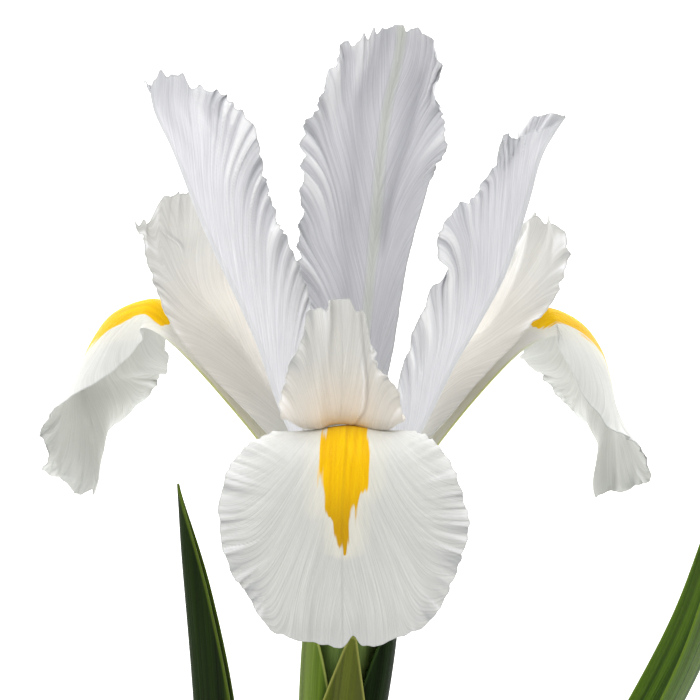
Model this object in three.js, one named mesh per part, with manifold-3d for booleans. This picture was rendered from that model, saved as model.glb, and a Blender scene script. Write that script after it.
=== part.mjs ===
import * as THREE from 'three';
import Module from 'manifold-3d';
import { mergeVertices } from 'three/addons/utils/BufferGeometryUtils.js';

// A cut white iris with its stem and two leaves, in millimetres.
// It is drawn standing: the foot of the bloom is the origin, its front faces -Y and its top is up +Z.
// The last lines lay it on its back, so that it rests on two side petals and the cut end of the stem.

// Thickness of each kind of sheet, and the clearance where one piece sits on another
const PETAL_THICKNESS = 0.7;
const BRACT_THICKNESS = 0.7;
const LEAF_THICKNESS = 0.8;
const SEAT_GAP = 0.3;

// Heights and radii of what the bloom stands on
const FLOWER_TUBE_RADIUS = 4.9;
const TUBE_NECK_RADIUS = 3.7;
const OVARY_RADIUS = 4.3;
const PEDICEL_RADIUS = 2.6;
const STEM_TOP = -40;
const STEM_END = -215;
const STEM_TOP_RADIUS = 3.4;
const STEM_END_RADIUS = 3.7;

// The short column of the style, which widens to carry its arms
const COLUMN_RADIUS = 1.15;
const COLUMN_HEAD_RADIUS = 2.2;
const COLUMN_WIDENS_AT = 5;
const COLUMN_TOP = 8.4;

// How far the bloom end is raised and how far the flower rolls to one side, in degrees,
// as it lies on its two side falls and the cut end of its stem
const LYING_PITCH = 7.43;
const LYING_ROLL = -1.65;

// The line of the ovary and the stem, as height and x, from the cut end up. It leans and bends a little.
const STALK = [
  [-215, -12], [-175, -11], [-120, -8.6], [-60, -4.2], [-40, -2.6], [-26, -1.2], [-14, -0.3], [0, 0],
];
const STALK_SIDES = 12;

// Where each organ points, in degrees round the axis from the front
const FRONT = 0;
const SIDE = 120;
const BACK = 180;
const SIDE_STANDARD = 60;
const LEAF_SIDE = 90;

// How sheets are gridded: rows are sparser near the foot, and columns are closer near the margins
const ROW_SPREAD = 0.85;
const COLUMN_SPREAD = 1.25;

// Ruffles are two mixed waves. They grow with this power of the way out from the midrib.
const FIRST_WAVE = 0.62;
const SECOND_WAVE = 0.38;
const SECOND_WAVE_RATE = 1.63;
const RUFFLE_GROWTH = 3;
const TOP_RUFFLES_FROM = 0.55;

// A petal that falls: a narrow haft that climbs outwards, an arch and a broad hanging blade.
// Spines are [out from the axis, up, sideways], the other lists are [share of the length, value].
// A list whose name ends in Low holds the other side's values, where the two sides differ.
const FALL = {
  spine: [
    [3.9, 0.7], [9, 8], [15.5, 15.2], [22, 21.8], [28.5, 28.8], [33.4, 33.2], [37.2, 32.8],
    [42.2, 29.7], [45.4, 25.3], [47.2, 21.1], [48, 16.6], [46.6, 11], [45.4, 5.6], [45.6, 1.4],
    [46.6, -1.8],
  ],
  halfWidth: [
    [0, 1.7], [0.12, 2.8], [0.3, 3.7], [0.44, 5], [0.52, 7], [0.56, 7.9], [0.6, 9.1], [0.65, 10.7],
    [0.72, 11.5], [0.8, 10.6], [0.87, 9.6], [0.94, 9.4], [1, 8.9],
  ],
  halfWidthLow: [
    [0, 1.7], [0.12, 2.8], [0.3, 3.7], [0.44, 4.4], [0.52, 6], [0.56, 8.2], [0.6, 10.2], [0.65, 11.8],
    [0.72, 13], [0.8, 13.8], [0.87, 11.6], [0.94, 7.6], [1, 4],
  ],
  fold: [
    [0, 0], [0.08, 14], [0.3, 22], [0.46, 4], [0.53, -28], [0.6, -33], [0.7, -19], [0.8, 4],
    [0.9, 40], [1, 66],
  ],
  foldLow: [
    [0, 0], [0.08, 14], [0.3, 22], [0.46, 12], [0.53, -23], [0.6, -42], [0.7, -41], [0.8, -27],
    [0.9, 4], [1, 36],
  ],
  curl: [[0, 0], [0.2, 14], [0.44, 12], [0.53, -42], [0.62, -34], [0.8, -12], [1, 17]],
  keel: 2.2,
  endBow: 5.8,
  endBowFrom: 0.62,
  notches: [{ at: 0.03, width: 0.06, depth: 1.6, from: 0.9 }],
  ruffle: [[0, 0], [0.5, 0], [0.6, 0.3], [0.8, 0.8], [1, 1.1]],
  ruffleTop: 0.7,
  waves: 16,
  phase: 0.4,
  focus: 0.5,
  thickness: PETAL_THICKNESS,
  rows: 24,
  columns: 8,
};

// A petal that stands: a narrow foot that widens upwards to a ruffled top, folded along its midrib
const STANDARD = {
  halfWidth: [
    [0, 1], [0.1, 2.1], [0.22, 3.6], [0.36, 6.5], [0.5, 9.6],
    [0.64, 12.2], [0.76, 13.6], [0.86, 13.2], [0.94, 11], [1, 8.5],
  ],
  fold: [[0, 0], [0.1, 20], [0.4, 40], [0.8, 38], [1, 30]],
  curl: [[0, 0], [0.1, 10], [0.5, 16], [1, 10]],
  keel: 1.6,
  endBow: 9.5,
  endBowFrom: 0.6,
  ruffle: [[0, 0], [0.3, 0], [0.45, 0.6], [0.65, 1.2], [1, 1.5]],
  ruffleTop: 0.8,
  waves: 15,
  phase: 1,
  focus: 0.36,
  thickness: PETAL_THICKNESS,
  rows: 22,
  columns: 8,
};

// A style arm: a keeled roof over the haft of a fall, which ends in two upturned crests
const STYLE_ARM = {
  spine: [
    [1.7, 6.8], [4.9, 12], [10.4, 19], [17, 26.6], [22, 32.2], [26.5, 36], [28.7, 40.2], [29.3, 44.6],
    [29.3, 48.7], [28.8, 52.2],
  ],
  halfWidth: [
    [0, 1.2], [0.15, 3.4], [0.35, 4.6], [0.5, 5.3], [0.6, 5.9], [0.7, 6.2], [0.8, 6.9], [0.9, 8.6],
    [1, 9.6],
  ],
  halfWidthLow: [
    [0, 1.2], [0.15, 3.4], [0.35, 6.4], [0.5, 8.8], [0.6, 10.6], [0.7, 11.2], [0.8, 10.6], [0.9, 8.4],
    [1, 5.6],
  ],
  fold: [[0, 0], [0.1, -8], [0.3, -12], [0.5, -24], [0.6, -27], [0.7, -27], [0.85, -24], [1, -14]],
  foldLow: [[0, 0], [0.1, -8], [0.3, -8], [0.5, -8], [0.6, -12], [0.7, -18], [0.85, -28], [1, -36]],
  curl: [[0, 0], [0.2, -18], [0.5, -24], [0.6, -12], [0.7, 4], [0.85, 4], [1, -6]],
  keel: 1,
  endBow: 1,
  endBowFrom: 0.7,
  notches: [{ at: 0.1, width: 0.34, depth: 3.4, from: 0.6 }],
  ruffle: [[0, 0], [0.6, 0], [0.72, 0.4], [1, 1]],
  ruffleTop: 0.8,
  waves: 13,
  phase: 0.3,
  focus: 0.55,
  thickness: PETAL_THICKNESS,
  rows: 18,
  columns: 8,
};

const FRONT_FALL = {
  ...FALL,
  spine: [
    [3.9, 0.7], [9, 8], [15.5, 15.2], [22, 21.8], [28.5, 28.6], [33.2, 33], [37.4, 33.4, -0.3],
    [40.9, 31, -0.6], [43.8, 25.9, -0.9], [45.2, 20.1, -0.9], [45.5, 14, -0.9], [45.3, 9, -0.9],
    [45.8, 4.7, -0.9],
  ],
  halfWidth: [
    [0, 1.7], [0.12, 2.8], [0.3, 3.7], [0.42, 4.5], [0.48, 6], [0.52, 8.2], [0.56, 10.6], [0.6, 13.1],
    [0.66, 16.2], [0.72, 17.8], [0.79, 18], [0.87, 15.9], [0.95, 11.8], [1, 8.7],
  ],
  halfWidthLow: [
    [0, 1.7], [0.12, 2.8], [0.3, 3.7], [0.42, 4.8], [0.48, 6.6], [0.52, 9.4], [0.56, 12.2],
    [0.6, 14.2], [0.66, 16.4], [0.72, 17.8], [0.79, 17.8], [0.87, 15.4], [0.95, 11.2], [1, 7.8],
  ],
  fold: [[0, 0], [0.08, 14], [0.3, 22], [0.44, 14], [0.51, 3], [0.62, -3], [0.8, -3], [1, 2]],
  foldLow: null,
  curl: [[0, 0], [0.2, 14], [0.42, 10], [0.52, 0], [0.6, -8], [0.68, -11], [0.8, -5], [1, 11]],
  endBow: 3.1,
};

const RIGHT_FALL = {
  ...FALL,
  spine: [
    [3.9, 0.7], [9, 8], [15.5, 15.2], [22, 21.6], [28.5, 27.8], [33.4, 31.6], [36.2, 31.7],
    [40.9, 28.6], [44, 24.5], [45.6, 20.4], [46.5, 15.9], [46.1, 11.1], [44.9, 6.1], [44, 1.6],
    [44.1, -1.2],
  ],
  halfWidth: [
    [0, 1.7], [0.12, 2.8], [0.3, 3.7], [0.44, 4.4], [0.52, 5.9], [0.56, 8.3], [0.6, 10.5],
    [0.65, 12.6], [0.72, 13.6], [0.8, 14.1], [0.87, 12.8], [0.94, 9.4], [1, 5.9],
  ],
  halfWidthLow: [
    [0, 1.7], [0.12, 2.8], [0.3, 3.7], [0.44, 5], [0.52, 7], [0.56, 8.8], [0.6, 10.8], [0.65, 13.9],
    [0.72, 16], [0.8, 15.1], [0.87, 11.7], [0.94, 8.7], [1, 6.4],
  ],
  fold: [
    [0, 0], [0.08, 14], [0.3, 22], [0.46, 12], [0.53, -21], [0.6, -35], [0.7, -27], [0.8, -12],
    [0.9, 13], [1, 44],
  ],
  foldLow: [
    [0, 0], [0.08, 14], [0.3, 22], [0.46, 5], [0.53, -23], [0.6, -27], [0.7, -25], [0.8, -20],
    [0.9, 17], [1, 58],
  ],
  curl: [[0, 0], [0.2, 14], [0.44, 12], [0.53, -44], [0.62, -34], [0.8, -12], [1, 17]],
  phase: 1.7,
};

const LEFT_STANDARD = {
  ...STANDARD,
  spine: [
    [3.3, 0.7], [6.5, 12], [12.1, 25.7], [16.3, 37.9], [24, 55.2], [29.4, 68.4], [33.3, 76.4],
    [34.1, 81.2],
  ],
  halfWidth: [
    [0, 1], [0.1, 2.1], [0.22, 4.4], [0.36, 7.4], [0.5, 10.3], [0.64, 11.7], [0.76, 12], [0.86, 13.1],
    [0.94, 10.8], [1, 7.6],
  ],
  halfWidthLow: [
    [0, 1], [0.1, 2.1], [0.22, 3.8], [0.36, 6.8], [0.5, 9.6], [0.64, 11.4], [0.76, 10.6], [0.86, 8],
    [0.94, 5.6], [1, 3.6],
  ],
  fold: [[0, 0], [0.1, 20], [0.4, 39], [0.8, 37], [0.9, 44], [1, 58]],
  foldLow: [[0, 0], [0.1, 20], [0.4, 30], [0.8, 46], [0.9, 48], [1, 30]],
  endBow: 0.5,
};

const RIGHT_STANDARD = {
  ...STANDARD,
  spine: [
    [3.3, 0.7], [7, 12], [12.6, 22.5], [17.6, 33.1], [21.8, 40.9], [26.1, 49.6], [29.8, 60.8],
    [32, 68.2], [33.7, 72.3], [35.8, 76.5],
  ],
  halfWidth: [
    [0, 1], [0.1, 2.1], [0.22, 3.8], [0.36, 6.6], [0.5, 8.9], [0.64, 10.2], [0.76, 9.2], [0.86, 6.8],
    [0.94, 5.2], [1, 4],
  ],
  halfWidthLow: [
    [0, 1], [0.1, 2.1], [0.22, 3], [0.36, 5.7], [0.5, 8.6], [0.6, 10.8], [0.66, 11.4], [0.72, 10.8],
    [0.78, 10], [0.86, 7.4], [0.94, 6], [1, 4.2],
  ],
  fold: [[0, 0], [0.1, 20], [0.4, 43], [0.8, 58], [1, 74]],
  foldLow: [[0, 0], [0.1, 20], [0.4, 32], [0.8, 47], [1, 66]],
  endBow: 6,
  notches: [{ at: -0.6, width: 0.4, depth: 3.6, from: 0.86 }],
  phase: 2.2,
};

const BACK_STANDARD = {
  ...STANDARD,
  spine: [
    [3.3, 0.7], [5.6, 12], [8, 26, -1.8], [10, 36, -2.8], [13, 47, -3.7], [15.1, 56.8, -4.5],
    [17.2, 65.2, -5.6], [17.4, 72.2, -7.1], [17, 78.2, -7.8],
  ],
  halfWidth: [
    [0, 1], [0.1, 1.9], [0.2, 3.2], [0.36, 8.7], [0.48, 13], [0.56, 15.4], [0.62, 14.5], [0.68, 13.8],
    [0.76, 14.5], [0.86, 12.9], [0.94, 10], [1, 7.7],
  ],
  halfWidthLow: [
    [0, 1], [0.1, 2], [0.22, 3.4], [0.36, 5.4], [0.5, 6.6], [0.64, 8.4], [0.76, 11.5], [0.86, 10.3],
    [0.94, 7], [1, 4],
  ],
  fold: [[0, 0], [0.1, 20], [0.4, 34], [0.8, 28], [1, 20]],
  endBow: 2.6,
  phase: 0.2,
};

const RIGHT_STYLE_ARM = {
  ...STYLE_ARM,
  spine: [
    [1.7, 6.8], [4.9, 12], [10.4, 19], [17, 26.6], [24, 31], [28, 35.8], [30.2, 40], [31.4, 43.6],
    [31.9, 46.4], [31.7, 48.8],
  ],
  halfWidth: [
    [0, 1.2], [0.15, 3.4], [0.35, 5.6], [0.5, 6.2], [0.6, 6], [0.68, 5.8], [0.8, 5.6], [0.9, 5],
    [1, 4.4],
  ],
  halfWidthLow: [
    [0, 1.2], [0.15, 3.4], [0.35, 5.6], [0.5, 5.8], [0.6, 5.7], [0.68, 6.6], [0.8, 8], [0.9, 7.6],
    [1, 6],
  ],
  fold: [[0, 0], [0.1, -8], [0.3, -10], [0.5, -14], [0.6, -22], [0.7, -36], [0.85, -54], [1, -62]],
  foldLow: [[0, 0], [0.1, -8], [0.3, -12], [0.5, -18], [0.6, -22], [0.7, -24], [0.85, -18], [1, -4]],
  notches: [{ at: 0.6, width: 0.5, depth: 2.6, from: 0.65 }],
};

const FRONT_STYLE_ARM = {
  ...STYLE_ARM,
  spine: [
    [1.7, 6.8], [4.9, 12], [10.4, 19, -0.2], [17, 25.8, -0.5], [24, 31.2, -0.9], [29.6, 34.5, -1.2],
    [33.6, 35.7, -1.2], [35.2, 37.4, -1.2], [34.6, 42.4, -1], [33.2, 48.4, -1], [31.9, 53.6, -1.2],
  ],
  halfWidth: [
    [0, 1.2], [0.15, 3.4], [0.35, 5.2], [0.5, 6.4], [0.58, 7.4], [0.64, 8.4], [0.7, 9], [0.8, 8.2],
    [0.9, 6.6], [1, 5],
  ],
  halfWidthLow: [
    [0, 1.2], [0.15, 3.4], [0.35, 5.2], [0.5, 6.4], [0.58, 7.2], [0.64, 8], [0.7, 9.2], [0.8, 8.8],
    [0.9, 7], [1, 5],
  ],
  fold: [[0, 0], [0.1, -8], [0.3, -12], [0.5, -12], [0.6, -4], [0.7, -6], [0.85, -12], [1, -14]],
  foldLow: null,
  curl: [[0, 0], [0.2, -18], [0.5, -20], [0.6, -8], [0.7, -12], [0.85, -14], [1, -14]],
  notches: [
    { at: 1, width: 0.45, depth: 5.5, from: 0.75 },
    { at: -0.9, width: 0.25, depth: 1.6, from: 0.8 },
  ],
};

// A stamen runs between a haft and the style arm over it: a thin filament, then a thicker anther
const STAMEN = {
  spine: [[2.4, 0.55], [4, 4.6], [7.3, 10.1], [13.2, 16.8], [20, 23.5], [23.8, 27.2]],
  radius: [[0, 0.5], [0.58, 0.5], [0.64, 0.9], [0.92, 0.95], [1, 0.5]],
  sides: 6,
  rings: 12,
};

// Three bracts of the spathe. They clasp the top of the stem and hold the ovary.
const LEFT_BRACT = {
  spine: [[8.3, -58], [8.1, -45], [7.8, -30], [7.4, -20], [6.9, -12], [6.8, -4]],
  halfWidth: [[0, 6.2], [0.25, 7.3], [0.55, 8.6], [0.75, 7], [0.9, 3.6], [1, 0.8]],
  curl: [[0, 83], [0.25, 83], [0.55, 80], [0.75, 62], [0.9, 30], [1, 6]],
  thickness: BRACT_THICKNESS,
  rows: 12,
  columns: 8,
};

const RIGHT_BRACT = {
  ...LEFT_BRACT,
  spine: [[0.2, -58], [1.9, -45], [4.3, -30], [5.6, -20], [6.4, -12], [6.8, -3]],
};

const FRONT_BRACT = {
  spine: [[5.6, -64, -4.4], [6.5, -48, -3.2], [7.3, -32, -1.8], [7.6, -20, -0.6], [7.5, -11.5, 0.4]],
  halfWidth: [[0, 8.6], [0.3, 8.4], [0.6, 5.6], [0.82, 2.9], [1, 0.6]],
  curl: [[0, 88], [0.3, 76], [0.6, 46], [0.82, 22], [1, 5]],
  thickness: BRACT_THICKNESS,
  rows: 12,
  columns: 6,
};

// Two leaves. Each foot wraps the stem as a sheath and its blade is channelled, with a keel outside.
const LEFT_LEAF = {
  spine: [
    [15.7, -178], [16.1, -160], [16.8, -145, -0.3], [18.4, -120, -2.4], [20.8, -90, -7.4],
    [23.2, -55, -13.4], [24.6, -31, -17.2], [26, -12, -19], [26.7, 0, -20],
  ],
  halfWidth: [[0, 8.8], [0.12, 8.6], [0.3, 8], [0.55, 7.8], [0.75, 7], [0.9, 4], [1, 0.4]],
  fold: [[0, 0], [0.2, 0], [0.4, 26], [0.65, 46], [1, 50]],
  curl: [[0, 110], [0.1, 85], [0.2, 70], [0.35, 44], [0.6, 18], [1, 10]],
  keel: 1.6,
  thickness: LEAF_THICKNESS,
  rows: 20,
  columns: 6,
};

const RIGHT_LEAF = {
  spine: [
    [-5.45, -150], [-4.4, -135], [2, -117, 2], [18, -90, 7], [38, -60, 13],
    [54, -31, 18], [61.5, -10, 21], [70, 20, 24.5], [75.5, 44, 27],
  ],
  halfWidth: [[0, 8.6], [0.1, 8.7], [0.3, 9], [0.6, 8.8], [0.8, 6.4], [0.93, 3], [1, 0.4]],
  fold: [[0, 0], [0.1, 0], [0.3, 30], [0.6, 38], [1, 44]],
  curl: [[0, 110], [0.08, 100], [0.18, 70], [0.35, 34], [0.6, 20], [1, 12]],
  keel: 1.6,
  thickness: LEAF_THICKNESS,
  rows: 20,
  columns: 6,
};

// A smooth step from 0 to 1 between two values
const step = (from, to, value) => THREE.MathUtils.smoothstep(value, from, to);

// A smooth curve through [share, value] pairs, level beyond both ends
function profile(pairs) {
  const last = pairs.length - 1;
  const slopes = pairs.map((pair, i) => {
    const before = pairs[Math.max(i - 1, 0)];
    const after = pairs[Math.min(i + 1, last)];
    return (after[1] - before[1]) / (after[0] - before[0]);
  });
  return (share) => {
    const x = THREE.MathUtils.clamp(share, pairs[0][0], pairs[last][0]);
    const i = Math.max(pairs.findLastIndex((pair, k) => k < last && pair[0] <= x), 0);
    const span = pairs[i + 1][0] - pairs[i][0];
    const u = (x - pairs[i][0]) / span;
    const start = (1 - u) ** 2 * ((1 + 2 * u) * pairs[i][1] + u * span * slopes[i]);
    const end = u ** 2 * ((3 - 2 * u) * pairs[i + 1][1] - (1 - u) * span * slopes[i + 1]);
    return start + end;
  };
}

// The directions of an organ that points to an azimuth: out from the axis, and across it
function directions(azimuth) {
  const angle = THREE.MathUtils.degToRad(azimuth);
  return {
    out: new THREE.Vector3(Math.sin(angle), -Math.cos(angle), 0),
    across: new THREE.Vector3(Math.cos(angle), Math.sin(angle), 0),
  };
}

// A curve through a spine's points, in the plane of its azimuth
function spineCurve(points, azimuth) {
  const { out, across } = directions(azimuth);
  return new THREE.CatmullRomCurve3(points.map(([far, up, aside = 0]) => new THREE.Vector3(0, 0, up)
    .addScaledVector(out, far)
    .addScaledVector(across, aside)), false, 'catmullrom');
}

// Two mixed waves, so that a margin doesn't repeat evenly
const wave = (place, waves, phase) => (
  FIRST_WAVE * Math.sin(waves * place + phase)
  + SECOND_WAVE * Math.sin(SECOND_WAVE_RATE * waves * place + 2.1 * phase + 1));

// The middle surface of a petal, bract or leaf: a point for each share of its length and of its half width
function bladeSurface(shape, azimuth) {
  const { endBow = 0, endBowFrom = 0.6, keel = 1.5 } = shape;
  const { ruffleTop = 0, waves = 1, phase = 0, focus = 0.4 } = shape;
  const level = [[0, 0], [1, 0]];
  const curve = spineCurve(shape.spine, azimuth);
  curve.arcLengthDivisions = 400;
  const length = curve.getLength();
  const { across } = directions(azimuth);
  const highSide = profile(shape.halfWidth);
  const lowSide = profile(shape.halfWidthLow ?? shape.halfWidth);
  const highFold = profile(shape.fold ?? level);
  const lowFold = profile(shape.foldLow ?? shape.fold ?? level);
  const curlAt = profile(shape.curl);
  const ruffleAt = profile(shape.ruffle ?? level);

  return (along, side) => {
    // Flat place on the blade: distance along it and across it
    const bow = endBow * step(endBowFrom, 1, along);
    const halfWidth = (side < 0 ? lowSide : highSide)(along - bow / length);
    const sideways = side * halfWidth;
    let distance = length * along - bow * side ** 2;
    for (const { at, width, depth, from } of shape.notches ?? []) {
      distance -= depth * Math.exp(-(((side - at) / width) ** 2)) * step(from, 1, along);
    }
    const share = THREE.MathUtils.clamp(distance / length, 0, 1);

    // The section bends along an arc, and folds at a rounded keel
    const bend = THREE.MathUtils.degToRad(curlAt(share)) / Math.max(halfWidth, 1) + 1e-6;
    const folded = THREE.MathUtils.degToRad((side < 0 ? lowFold : highFold)(share));
    const fold = folded * sideways / Math.hypot(sideways, keel);
    const arcX = Math.sin(bend * sideways) / bend;
    const arcY = (1 - Math.cos(bend * sideways)) / bend;
    let x = arcX * Math.cos(fold) - arcY * Math.sin(fold);
    let y = arcX * Math.sin(fold) + arcY * Math.cos(fold);

    // Ruffles run out as rays from a point on the midrib, and grow towards the margin
    const ray = Math.atan2(sideways, distance - focus * length);
    const reach = Math.max(
      Math.abs(side) ** RUFFLE_GROWTH,
      ruffleTop * step(TOP_RUFFLES_FROM, 1, along) ** 2,
    );
    const rise = ruffleAt(share) * reach * wave(ray + 0.25 * Math.sin(2 * ray), waves, phase);
    x -= rise * Math.sin(fold + bend * sideways);
    y += rise * Math.cos(fold + bend * sideways);

    // Set the section on the spine
    const tangent = curve.getTangentAt(share);
    const right = across.clone().addScaledVector(tangent, -tangent.dot(across)).normalize();
    const inward = tangent.clone().cross(right);
    return curve.getPointAt(share).addScaledVector(right, x).addScaledVector(inward, y);
  };
}

// Places from -1 to 1 across a sheet, closer together near its margins
const placesAcross = (columns) => Array.from({ length: columns + 1 }, (_, j) => {
  const side = 2 * j / columns - 1;
  return Math.sign(side) * (1 - (1 - Math.abs(side)) ** COLUMN_SPREAD);
});

// The unit normal of a grid of points at row i and column j
function gridNormal(grid, i, j) {
  const rows = grid.length - 1;
  const columns = grid[0].length - 1;
  const down = grid[Math.min(i + 1, rows)][j].clone().sub(grid[Math.max(i - 1, 0)][j]);
  const over = grid[i][Math.min(j + 1, columns)].clone().sub(grid[i][Math.max(j - 1, 0)]);
  return down.cross(over).normalize();
}

// The border of a grid as [row, column] pairs, once round
function gridBorder(rows, columns) {
  const border = [];
  for (let j = 0; j < columns; j += 1) border.push([0, j]);
  for (let i = 0; i < rows; i += 1) border.push([i, columns]);
  for (let j = columns; j > 0; j -= 1) border.push([rows, j]);
  for (let i = rows; i > 0; i -= 1) border.push([i, 0]);
  return border;
}

// A closed sheet round a grid of points. Both faces are split alike, so that they stay parallel.
function closedSheet(grid, thickness) {
  const rows = grid.length - 1;
  const columns = grid[0].length - 1;
  const faces = [thickness / 2, -thickness / 2].map((offset) => grid.flatMap((row, i) => (
    row.map((point, j) => point.clone().addScaledVector(gridNormal(grid, i, j), offset)))));
  const top = (i, j) => i * (columns + 1) + j;
  const under = (i, j) => faces[0].length + top(i, j);
  const index = [];
  for (let i = 0; i < rows; i += 1) {
    for (let j = 0; j < columns; j += 1) {
      const split = j < columns / 2
        ? [[i, j], [i + 1, j], [i + 1, j + 1], [i, j], [i + 1, j + 1], [i, j + 1]]
        : [[i, j], [i + 1, j], [i, j + 1], [i + 1, j], [i + 1, j + 1], [i, j + 1]];
      index.push(...split.map(([row, column]) => top(row, column)));
      index.push(...split.reverse().map(([row, column]) => under(row, column)));
    }
  }
  const border = gridBorder(rows, columns);
  border.forEach((here, k) => {
    const next = border[(k + 1) % border.length];
    index.push(top(...here), top(...next), under(...next), top(...here), under(...next), under(...here));
  });
  return geometryFrom(faces.flat(), index);
}

function geometryFrom(points, index) {
  const geometry = new THREE.BufferGeometry().setFromPoints(points);
  geometry.setIndex(index);
  geometry.computeVertexNormals();
  return geometry;
}

// A petal, bract or leaf as a closed sheet
function blade(shape, azimuth) {
  const surface = bladeSurface(shape, azimuth);
  const sides = placesAcross(shape.columns);
  const grid = Array.from({ length: shape.rows + 1 }, (_, i) => (
    sides.map((side) => surface((i / shape.rows) ** ROW_SPREAD, side))));
  return closedSheet(grid, shape.thickness);
}

// A closed round rod along a curve, with a radius that changes along it
function rod(curve, across, radius, sides, rings) {
  const radiusAt = profile(radius);
  const points = [curve.getPointAt(0), curve.getPointAt(1)];
  for (let i = 0; i <= rings; i += 1) {
    const centre = curve.getPointAt(i / rings);
    const tangent = curve.getTangentAt(i / rings);
    const right = across.clone().addScaledVector(tangent, -tangent.dot(across)).normalize();
    const up = tangent.clone().cross(right);
    for (let j = 0; j < sides; j += 1) {
      const angle = 2 * Math.PI * j / sides;
      points.push(centre.clone()
        .addScaledVector(right, radiusAt(i / rings) * Math.cos(angle))
        .addScaledVector(up, radiusAt(i / rings) * Math.sin(angle)));
    }
  }
  const at = (i, j) => 2 + i * sides + (j % sides);
  const index = [];
  for (let j = 0; j < sides; j += 1) {
    index.push(0, at(0, j + 1), at(0, j), 1, at(rings, j), at(rings, j + 1));
    for (let i = 0; i < rings; i += 1) {
      index.push(at(i, j), at(i, j + 1), at(i + 1, j + 1), at(i, j), at(i + 1, j + 1), at(i + 1, j));
    }
  }
  return geometryFrom(points, index);
}

function stamen(azimuth) {
  const curve = spineCurve(STAMEN.spine, azimuth);
  return rod(curve, directions(azimuth).across, STAMEN.radius, STAMEN.sides, STAMEN.rings);
}

// A stretch of the stalk's line between two heights, from the upper one down
function stalkBetween(top, bottom) {
  const xAt = profile(STALK);
  const steps = 12;
  return new THREE.CatmullRomCurve3(Array.from({ length: steps + 1 }, (_, i) => {
    const z = THREE.MathUtils.lerp(top, bottom, i / steps);
    return new THREE.Vector3(xAt(z), 0, z);
  }), false, 'catmullrom');
}

// The flower tube, the ovary and the thin pedicel under it, grown as one
function ovary() {
  const radius = [
    [0, FLOWER_TUBE_RADIUS], [0.06, FLOWER_TUBE_RADIUS], [0.16, TUBE_NECK_RADIUS], [0.32, OVARY_RADIUS],
    [0.58, OVARY_RADIUS], [0.78, PEDICEL_RADIUS], [1, PEDICEL_RADIUS],
  ];
  return rod(stalkBetween(0, STEM_TOP + SEAT_GAP), new THREE.Vector3(1, 0, 0), radius, STALK_SIDES, 14);
}

function stem() {
  const radius = [[0, STEM_TOP_RADIUS], [1, STEM_END_RADIUS]];
  return rod(stalkBetween(STEM_TOP, STEM_END), new THREE.Vector3(1, 0, 0), radius, STALK_SIDES, 12);
}

const wasm = await Module();
wasm.setup();

function toManifold(geometry) {
  const bare = geometry.clone();
  bare.deleteAttribute('normal');
  bare.deleteAttribute('uv');
  const merged = mergeVertices(bare);
  return new wasm.Manifold(new wasm.Mesh({
    numProp: 3,
    vertProperties: new Float32Array(merged.attributes.position.array),
    triVerts: new Uint32Array(merged.index.array),
  }));
}

function fromManifold(manifold) {
  const mesh = manifold.getMesh();
  const geometry = new THREE.BufferGeometry();
  geometry.setAttribute('position', new THREE.BufferAttribute(mesh.vertProperties, 3));
  geometry.setIndex(new THREE.BufferAttribute(mesh.triVerts, 1));
  geometry.computeVertexNormals();
  return geometry;
}

// The style is one piece: a short column that parts into three arms, each over a fall
function style() {
  const columnProfile = [
    [0, SEAT_GAP], [COLUMN_RADIUS, SEAT_GAP], [COLUMN_RADIUS, COLUMN_WIDENS_AT],
    [COLUMN_HEAD_RADIUS, COLUMN_TOP], [0, COLUMN_TOP],
  ];
  const column = new THREE.LatheGeometry(columnProfile.map(([r, z]) => new THREE.Vector2(r, z)), 9);
  column.rotateX(Math.PI / 2);
  const arms = [[FRONT_STYLE_ARM, FRONT], [STYLE_ARM, -SIDE], [RIGHT_STYLE_ARM, SIDE]];
  const whole = arms.reduce(
    (joined, [shape, azimuth]) => joined.add(toManifold(blade(shape, azimuth))),
    toManifold(column),
  );
  return fromManifold(whole);
}

// A plant tissue's finish
const tissue = (color, roughness) => new THREE.MeshStandardMaterial({ color, roughness, metalness: 0 });
const petalWhite = () => tissue('#e6e6ea', 0.6);
const styleWhite = () => tissue('#f0ebe0', 0.6);
const pollenYellow = () => tissue('#e8d9a0', 0.8);
const bractGreen = () => tissue('#57682c', 0.5);
const stemGreen = () => tissue('#5e7540', 0.5);
const leafGreen = () => tissue('#3f5a22', 0.45);

const PIECES = [
  ['fall_front', blade(FRONT_FALL, FRONT), petalWhite()],
  ['fall_left', blade(FALL, -SIDE), petalWhite()],
  ['fall_right', blade(RIGHT_FALL, SIDE), petalWhite()],
  ['standard_left', blade(LEFT_STANDARD, -SIDE_STANDARD), petalWhite()],
  ['standard_right', blade(RIGHT_STANDARD, SIDE_STANDARD), petalWhite()],
  ['standard_back', blade(BACK_STANDARD, BACK), petalWhite()],
  ['style', style(), styleWhite()],
  ['stamen_front', stamen(FRONT), pollenYellow()],
  ['stamen_left', stamen(-SIDE), pollenYellow()],
  ['stamen_right', stamen(SIDE), pollenYellow()],
  ['ovary', ovary(), stemGreen()],
  ['bract_left', blade(LEFT_BRACT, -LEAF_SIDE), bractGreen()],
  ['bract_right', blade(RIGHT_BRACT, LEAF_SIDE), bractGreen()],
  ['bract_front', blade(FRONT_BRACT, FRONT), bractGreen()],
  ['stem', stem(), stemGreen()],
  ['leaf_left', blade(LEFT_LEAF, -LEAF_SIDE), leafGreen()],
  ['leaf_right', blade(RIGHT_LEAF, LEAF_SIDE), leafGreen()],
];

const standing = new THREE.Group();
for (const [name, geometry, material] of PIECES) {
  const mesh = new THREE.Mesh(geometry, material);
  mesh.name = name;
  standing.add(mesh);
}

// Lay the flower on its back, with its top towards +Y and its front up
standing.rotation.order = 'YXZ';
standing.rotation.x = THREE.MathUtils.degToRad(LYING_PITCH - 90);
standing.rotation.y = THREE.MathUtils.degToRad(LYING_ROLL);
const flower = new THREE.Group();
flower.add(standing);

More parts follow.
